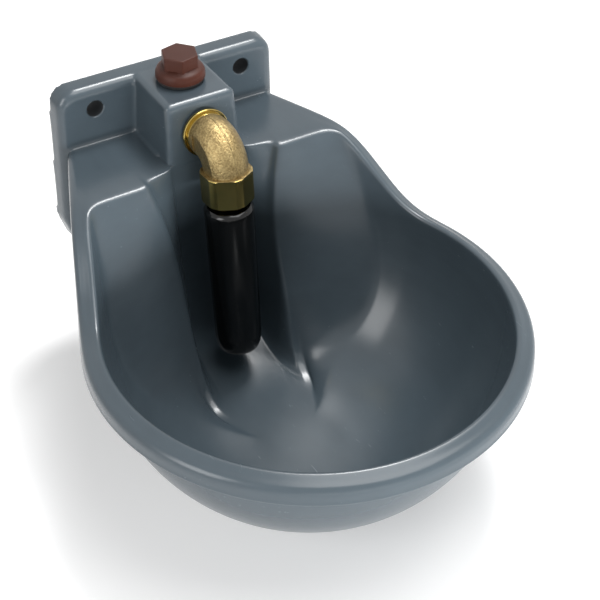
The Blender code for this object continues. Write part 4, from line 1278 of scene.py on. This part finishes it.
@dataclass
class ValveFrame:
    """Leaning frame of the valve: its origin lies where the elbow's two axes meet."""

    bowl: Bowl
    reach: float = 0.0221

    def matrix(self) -> Matrix:
        """Place of the frame: Z against the flow, -Y out of the block."""
        origin = self.bowl.port() + self.bowl.forward() * self.reach
        return Matrix.Translation(origin) @ Matrix.Rotation(-self.bowl.face_lean, 4, "X")

    def seat(self, piece: Piece) -> None:
        """Put a piece that was made about the frame's origin in its place."""
        piece.matrix_world = self.matrix()
        Bench.settle(piece)


@dataclass
class Elbow:
    """Cast elbow with a turned flange and a machined six-sided collar. Metres, in the valve's frame."""

    valve: ValveFrame
    radius: float = 0.0115
    bend: float = 0.0125
    bend_steps: int = 20
    sides: int = 72
    collar_steps: int = 96
    seat_y: float = 0.0207
    flange_radius: float = 0.0128
    flange_thickness: float = 0.0018
    shoulder_radius: float = 0.0112
    shoulder_thickness: float = 0.0014
    spigot_radius: float = 0.0102
    spigot_end: float = 0.0321
    side_flat: float = 0.0105
    bore: float = 0.007
    collar_top: float = 0.0124
    collar_bottom: float = 0.0287
    collar_flats: float = 0.0252
    collar_corner: float = 0.0135
    socket_radius: float = 0.0105
    socket_top: float = 0.019
    chamber_radius: float = 0.0088
    chamber_top: float = 0.013
    chamfer: float = 0.0007
    collar_bevel: float = 0.00022
    bevel_limit: float = math.radians(18.0)
    overrun: float = 0.005
    overlap: float = 0.001
    smooth_degrees: float = 28.0
    weight: int = 90

    def body(self) -> Piece:
        """Extrude a circle out of the flange, spin it round the bend and run it into the collar.

        Returns:
            The body.
        """
        piece = Bench.add("elbow_body", bpy.ops.mesh.primitive_circle_add, vertices=self.sides,
                          radius=self.spigot_radius, location=(0.0, self.spigot_end, 0.0),
                          rotation=(math.pi / 2.0, 0.0, 0.0))
        Bench.settle(piece)
        Bench.edit(piece, "VERT")
        bpy.ops.mesh.select_all(action="SELECT")
        shoulder = self.seat_y - self.flange_thickness
        neck = shoulder - self.shoulder_thickness
        edge = self.chamfer * 0.4
        steps = ((self.seat_y, self.spigot_radius), (self.seat_y, self.flange_radius - edge),
                 (self.seat_y - edge, self.flange_radius), (shoulder + edge, self.flange_radius),
                 (shoulder, self.flange_radius - edge), (shoulder, self.shoulder_radius),
                 (neck + edge, self.shoulder_radius), (neck, self.shoulder_radius - edge * 0.5),
                 (neck - self.chamfer, self.radius - self.chamfer * 0.3),
                 (neck - self.chamfer * 2.2, self.radius), (self.bend, self.radius))
        at, size = self.spigot_end, self.spigot_radius
        for place, radius in steps:
            bpy.ops.mesh.extrude_region_move(TRANSFORM_OT_translate={"value": (0.0, place - at, 0.0)})
            share = radius / size
            bpy.ops.transform.resize(value=(share, share, share), center_override=(0.0, place, 0.0))
            at, size = place, radius
        bpy.ops.mesh.spin(steps=self.bend_steps, angle=math.pi / 2.0, center=(0.0, self.bend, -self.bend),
                          axis=(-1.0, 0.0, 0.0))
        bpy.ops.mesh.extrude_region_move(TRANSFORM_OT_translate={"value": (0.0, 0.0, -self.chamfer * 3.0)})
        bpy.ops.mesh.select_all(action="DESELECT")
        Bench.pick(piece, "verts", lambda v: v.is_boundary)
        bpy.ops.mesh.edge_face_add()
        Bench.finish_edit(Bench.MERGE)
        return piece

    def collar(self) -> Piece:
        """Hexagon with turned corners and small chamfers.

        Returns:
            The collar.
        """
        top, low = -self.collar_top, -self.collar_bottom
        piece = Bench.hexagon("collar", self.collar_flats, low, top)
        cut = self.chamfer * 0.5
        rounder = Bench.turned("collar_turning", (
            (0.0, top), (self.collar_corner - cut, top), (self.collar_corner, top - cut),
            (self.collar_corner, low + cut), (self.collar_corner - cut, low), (0.0, low)), self.collar_steps)
        Bench.combine(piece, rounder, Join.KEEP_COMMON)
        Bench.modifier(piece, "BEVEL", width=self.collar_bevel, segments=2, limit_method="ANGLE",
                       angle_limit=self.bevel_limit)
        return piece

    def build(self) -> Piece:
        """Join body and collar, bore them and give each its own finish.

        Returns:
            The elbow.
        """
        piece = self.body()
        wide = self.radius * 1.5
        for side in (-1.0, 1.0):
            first, last = sorted((side * self.side_flat, side * wide))
            flat = Bench.box("side_flat", (first, -wide, -self.collar_top - self.chamfer * 2.0),
                             (last, self.bend + self.chamfer, wide))
            Bench.combine(piece, flat, Join.CUT)
        Bench.combine(piece, self.collar(), Join.UNION)
        down, inwards = Vector((0.0, 0.0, -1.0)), Vector((0.0, 1.0, 0.0))
        socket = Bench.rod("socket", down * self.socket_top, down * (self.collar_bottom + self.overrun),
                           self.socket_radius)
        chamber = Bench.rod("chamber", down * self.chamber_top,
                            down * (self.socket_top + self.overlap), self.chamber_radius)
        Bench.combine(socket, chamber, Join.UNION)
        Bench.combine(piece, socket, Join.CUT)
        inlet = Bench.rod("inlet_bore", inwards * self.bend, inwards * (self.spigot_end + self.overrun),
                          self.bore)
        Bench.combine(piece, inlet, Join.CUT)
        self.dress(piece)
        self.valve.seat(piece)
        Bench.smooth(piece, self.smooth_degrees)
        Bench.modifier(piece, "WEIGHTED_NORMAL", keep_sharp=True, weight=self.weight)
        return Bench.label(piece, "elbow_casting")

    def dress(self, piece: Piece) -> None:
        """Cast finish on the bend, turned finish on flange and collar.

        Args:
            piece: The elbow in its own frame.
        """
        Bench.dress(piece, CAST.make(), TURNED.make())
        neck = self.seat_y - self.flange_thickness - self.shoulder_thickness - self.chamfer * 0.5
        for face in piece.data.polygons:
            machined = face.center.y > neck or face.center.z < -self.collar_top - self.chamfer * 0.1
            face.material_index = int(machined)


@dataclass
class Tube:
    """Glossy drinking tube with a chamfered mouth, a rounded end and a hub for the stem."""

    valve: ValveFrame
    top: float = 0.0325
    bottom: float = 0.1218
    top_radius: float = 0.013
    end_radius: float = 0.0125
    chamfer: float = 0.0016
    mouth_radius: float = 0.011
    bore_radius: float = 0.0082
    end_round: float = 0.010
    end_round_share: float = 0.3
    hub_top: float = 0.042
    hub_thickness: float = 0.005
    stem_hole: float = 0.0019
    water_hole: float = 0.0020
    water_circle: float = 0.0057
    water_steps: int = 24
    water_turn: float = math.radians(2.0)
    draft: float = 0.00004
    overrun: float = 0.005
    steps: int = 96
    smooth_degrees: float = 30.0

    def profile(self) -> list[Place]:
        """Closed section of the tube.

        Returns:
            Radius and height of each corner.
        """
        soft = self.chamfer * 0.2
        outline = [(self.mouth_radius + soft, -self.top), (self.top_radius - self.chamfer - soft, -self.top),
                   (self.top_radius - self.chamfer + soft * 0.7, -self.top - soft * 0.7),
                   (self.top_radius - soft * 0.7, -self.top - self.chamfer),
                   (self.top_radius, -self.top - self.chamfer - soft * 1.5),
                   (self.top_radius - self.draft, -self.top - self.chamfer * 3.0)]
        for share in quarter_shares():
            angle = math.pi / 2.0 * share
            outline.append((self.end_radius - self.end_round * self.end_round_share * (1.0 - math.cos(angle)),
                            -self.bottom + self.end_round * (1.0 - math.sin(angle))))
        hub_low = self.hub_top + self.hub_thickness
        outline += [(self.bore_radius, -self.bottom + soft), (self.bore_radius, -hub_low),
                    (self.stem_hole, -hub_low), (self.stem_hole, -self.hub_top),
                    (self.mouth_radius, -self.hub_top), (self.mouth_radius, -self.top - soft)]
        return outline

    def build(self) -> Piece:
        """Turn the tube and drill its water holes.

        Returns:
            The tube.
        """
        piece = Bench.turned("tube_shell", self.profile(), self.steps)
        holes = []
        heights = (self.overrun - self.hub_top, -self.hub_top - self.hub_thickness - self.overrun)
        for index in range(4):
            place = cmath.rect(self.water_circle, math.pi / 2.0 * (index + 0.5) + self.water_turn)
            start, end = (Vector((place.real, place.imag, height)) for height in heights)
            holes.append(Bench.rod("water_hole", start, end, self.water_hole, self.water_steps))
        Bench.combine(piece, Bench.join(holes), Join.CUT)
        Bench.dress(piece, BLACK.make())
        self.valve.seat(piece)
        Bench.smooth(piece, self.smooth_degrees)
        return piece


@dataclass
class Plug:
    """Moulded plug: six-sided head on a domed collar, hollow from below."""

    place_y: float = -0.025
    block_top: float = 0.032
    low: float = 0.002
    collar_radius: float = 0.0128
    collar_edge: float = 0.0016
    collar_height: float = 0.0038
    dome_start: float = 0.12
    hex_flats: float = 0.0172
    hex_height: float = 0.0080
    hex_turn: float = math.radians(12.0)
    shank_radius: float = 0.0102
    shank_length: float = 0.0155
    bore_radius: float = 0.0065
    crown: float = 0.004
    edge: float = 0.0005
    nub: float = 0.0003
    overlap: float = 0.001
    top_insets: Place = (0.0012, 0.0050)
    steps: int = 96
    bore_steps: int = 72
    smooth_degrees: float = 35.0

    def build(self) -> Piece:
        """Bevel the head, turn the collar with its shank, and fuse them.

        Returns:
            The plug.
        """
        collar_top = self.low + self.collar_edge
        hex_low = collar_top + self.collar_height
        hex_top = hex_low + self.hex_height - self.nub
        corner = hexagon_corner(self.hex_flats)
        soft = self.edge * 0.7
        outline = [(0.0, hex_low + self.overlap), (corner * 0.9, hex_low + self.overlap)]
        base = corner + self.edge
        for share in quarter_shares():
            angle = math.pi / 2.0 * (self.dome_start + (1.0 - self.dome_start) * share)
            outline.append((base + (self.collar_radius - base) * math.sin(angle),
                            collar_top + self.collar_height * math.cos(angle)))
        outline += [(self.collar_radius, self.low + soft), (self.collar_radius - soft, self.low),
                    (self.shank_radius, self.low), (self.shank_radius, self.low - self.shank_length),
                    (0.0, self.low - self.shank_length)]
        piece = Bench.turned("plug_moulding", outline, self.steps)
        head = Bench.hexagon("plug_head", self.hex_flats, hex_top - self.hex_height - self.collar_height,
                             hex_top, self.hex_turn + math.pi / 6.0)
        Bench.bevel(head, "edges", lambda e: max(v.co.z for v in e.verts) > hex_top - self.edge, self.edge, 3)
        Bench.edit(head, "FACE")
        Bench.pick(head, "faces", lambda face: face.normal.z > 0.99
                   and face.calc_center_median().z > hex_top - Bench.FLAT)
        for inset in self.top_insets:
            bpy.ops.mesh.inset(thickness=inset)
        bpy.ops.transform.translate(value=(0.0, 0.0, self.nub))
        Bench.finish_edit()
        Bench.combine(piece, head, Join.UNION)
        room = Bench.rod("plug_bore", Vector((0.0, 0.0, self.low - self.shank_length - self.crown)),
                         Vector((0.0, 0.0, hex_top - self.crown)), self.bore_radius, self.bore_steps)
        Bench.combine(piece, room, Join.CUT)
        piece.location = (0.0, self.place_y, self.block_top)
        Bench.dress(piece, BROWN.make())
        Bench.settle(piece)
        Bench.smooth(piece, self.smooth_degrees)
        return piece


@dataclass
class Fittings:
    """CAD nodes that keep their shape and get a finer finish."""

    finishes: tuple[tuple[str, Finish], ...] = (
        ("inlet_tee", INLET), ("valve_seat", TURNED), ("valve_head", TURNED), ("valve_stem", STEEL),
        ("valve_spring", SPRING), ("stem_washer", STEEL), ("stem_nut", STEEL), ("plug_gasket", SEAL),
        ("elbow_gasket", SEAL), ("seat_gasket", SEAL), ("seat_ring", SEAL))

    def dress(self, nodes: dict[str, Piece]) -> None:
        """Give each node its material.

        Args:
            nodes: CAD nodes by name.
        """
        made: dict[str, bpy.types.Material] = {}
        for name, finish in self.finishes:
            if finish.name not in made:
                made[finish.name] = finish.make()
            Bench.dress(nodes[name], made[finish.name])
            log.info("dressed %s as %s", name, finish.name)


@dataclass
class Studio:
    """Camera, white floor and soft lamps."""

    eye: Point = (-0.27413, -0.58173, 0.40861)
    azimuth: float = math.radians(-32.104)
    elevation: float = math.radians(40.274)
    roll: float = math.radians(1.364)
    lens: float = 84.0
    sensor: float = 36.0
    aim: Point = (0.0, -0.12, -0.05)
    floor_z: float = -0.1266
    floor_size: float = 6.0
    floor_glow: float = 0.31
    fill: float = 0.20
    lamps: tuple[tuple[str, Point, Place, float, bool], ...] = (
        ("top_softbox", (0.27, -0.30, 1.08), (0.90, 0.75), 9.0, True),
        ("back_softbox", (0.45, 0.18, 1.15), (0.36, 0.36), 12.0, True),
        ("left_softbox", (-1.10, -0.36, 0.50), (0.50, 0.80), 6.5, True),
        ("low_softbox", (0.15, -0.95, -0.060), (1.60, 0.10), 14.0, False))

    def camera(self) -> None:
        """Camera at the photograph's place and angle."""
        data = bpy.data.cameras.new("camera")
        data.lens = self.lens
        data.sensor_width = self.sensor
        made = bpy.data.objects.new("camera", data)
        bpy.context.scene.collection.objects.link(made)
        back = Vector((math.sin(self.azimuth) * math.cos(self.elevation),
                       -math.cos(self.azimuth) * math.cos(self.elevation), math.sin(self.elevation)))
        right = (-back).cross(Vector((0.0, 0.0, 1.0))).normalized()
        up = right.cross(-back)
        turned_right = right * math.cos(self.roll) + up * math.sin(self.roll)
        turned_up = up * math.cos(self.roll) - right * math.sin(self.roll)
        place = Matrix((turned_right, turned_up, back)).transposed().to_4x4()
        place.translation = self.eye
        made.matrix_world = place
        bpy.context.scene.camera = made

    def lamp(self, name: str, place: Point, size: Place, power: float, mirrored: bool) -> None:
        """Rectangular softbox.

        Args:
            name: Lamp name.
            place: Where it stands.
            size: Width and height.
            power: Watts.
            mirrored: Whether glossy surfaces show it.
        """
        data = bpy.data.lights.new(name, "AREA")
        data.shape = "RECTANGLE"
        data.size, data.size_y = size
        data.energy = power
        made = bpy.data.objects.new(name, data)
        made.location = place
        made.rotation_euler = (Vector(self.aim) - Vector(place)).to_track_quat("-Z", "Y").to_euler()
        made.visible_camera = False
        made.visible_glossy = mirrored
        bpy.context.scene.collection.objects.link(made)

    def floor(self) -> None:
        """Floor that is white to the camera and keeps the shadow."""
        piece = Bench.add("floor", bpy.ops.mesh.primitive_plane_add, size=self.floor_size,
                          location=(0.0, 0.0, self.floor_z))
        look = Look("floor_look")
        look.surface((0.80, 0.80, 0.80), 0.9, 0.0, Specular_IOR_Level=0.0)
        glow = look.node("ShaderNodeEmission", None, {"Color": (1.0, 1.0, 1.0)})
        look.feed(glow.inputs["Strength"], look.shown() * self.floor_glow)
        both = look.node("ShaderNodeAddShader", None, {0: look.shader.outputs[0], 1: glow.outputs[0]})
        look.feed(look.output.inputs["Surface"], both.outputs[0])
        Bench.dress(piece, look.material)
        Bench.settle(piece)

    def world(self) -> None:
        """White surroundings: bright to camera and mirror rays, soft fill for the rest."""
        world = bpy.data.worlds.new("studio")
        world.use_nodes = True
        bpy.context.scene.world = world
        air = Nodes(world.node_tree)
        strength = air.shown() * (1.0 - self.fill) + self.fill
        glow = air.node("ShaderNodeBackground", None, {"Color": (1.0, 1.0, 1.0), "Strength": strength})
        air.node("ShaderNodeOutputWorld", None, {"Surface": glow.outputs[0]})

    def build(self) -> None:
        """Set the stage."""
        self.camera()
        self.floor()
        self.world()
        for lamp in self.lamps:
            self.lamp(*lamp)
        bpy.context.scene.view_settings.view_transform = "Standard"


def keep(piece: Piece, body: Body, node: str) -> None:
    """Hand a new piece to the frame.

    Args:
        piece: New piece.
        body: Body that it rides on.
        node: CAD node that it stands for.
    """
    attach(piece, body.value)
    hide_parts(node)
    log.info("built %s: %d faces", piece.name, len(piece.data.polygons))


def main() -> None:
    """Build the visual model piece by piece."""
    logging.basicConfig(level=logging.INFO)
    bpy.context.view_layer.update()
    bowl = Bowl()
    keep(bowl.build(), Body.BOWL, "bowl")
    valve = ValveFrame(bowl)
    keep(Elbow(valve).build(), Body.BOWL, "elbow")
    keep(Tube(valve).build(), Body.TUBE, "drinking_tube")
    keep(Plug().build(), Body.BOWL, "top_plug")
    Fittings().dress(frame["nodes"])
    Studio().build()


if __name__ == "__main__":
    main()
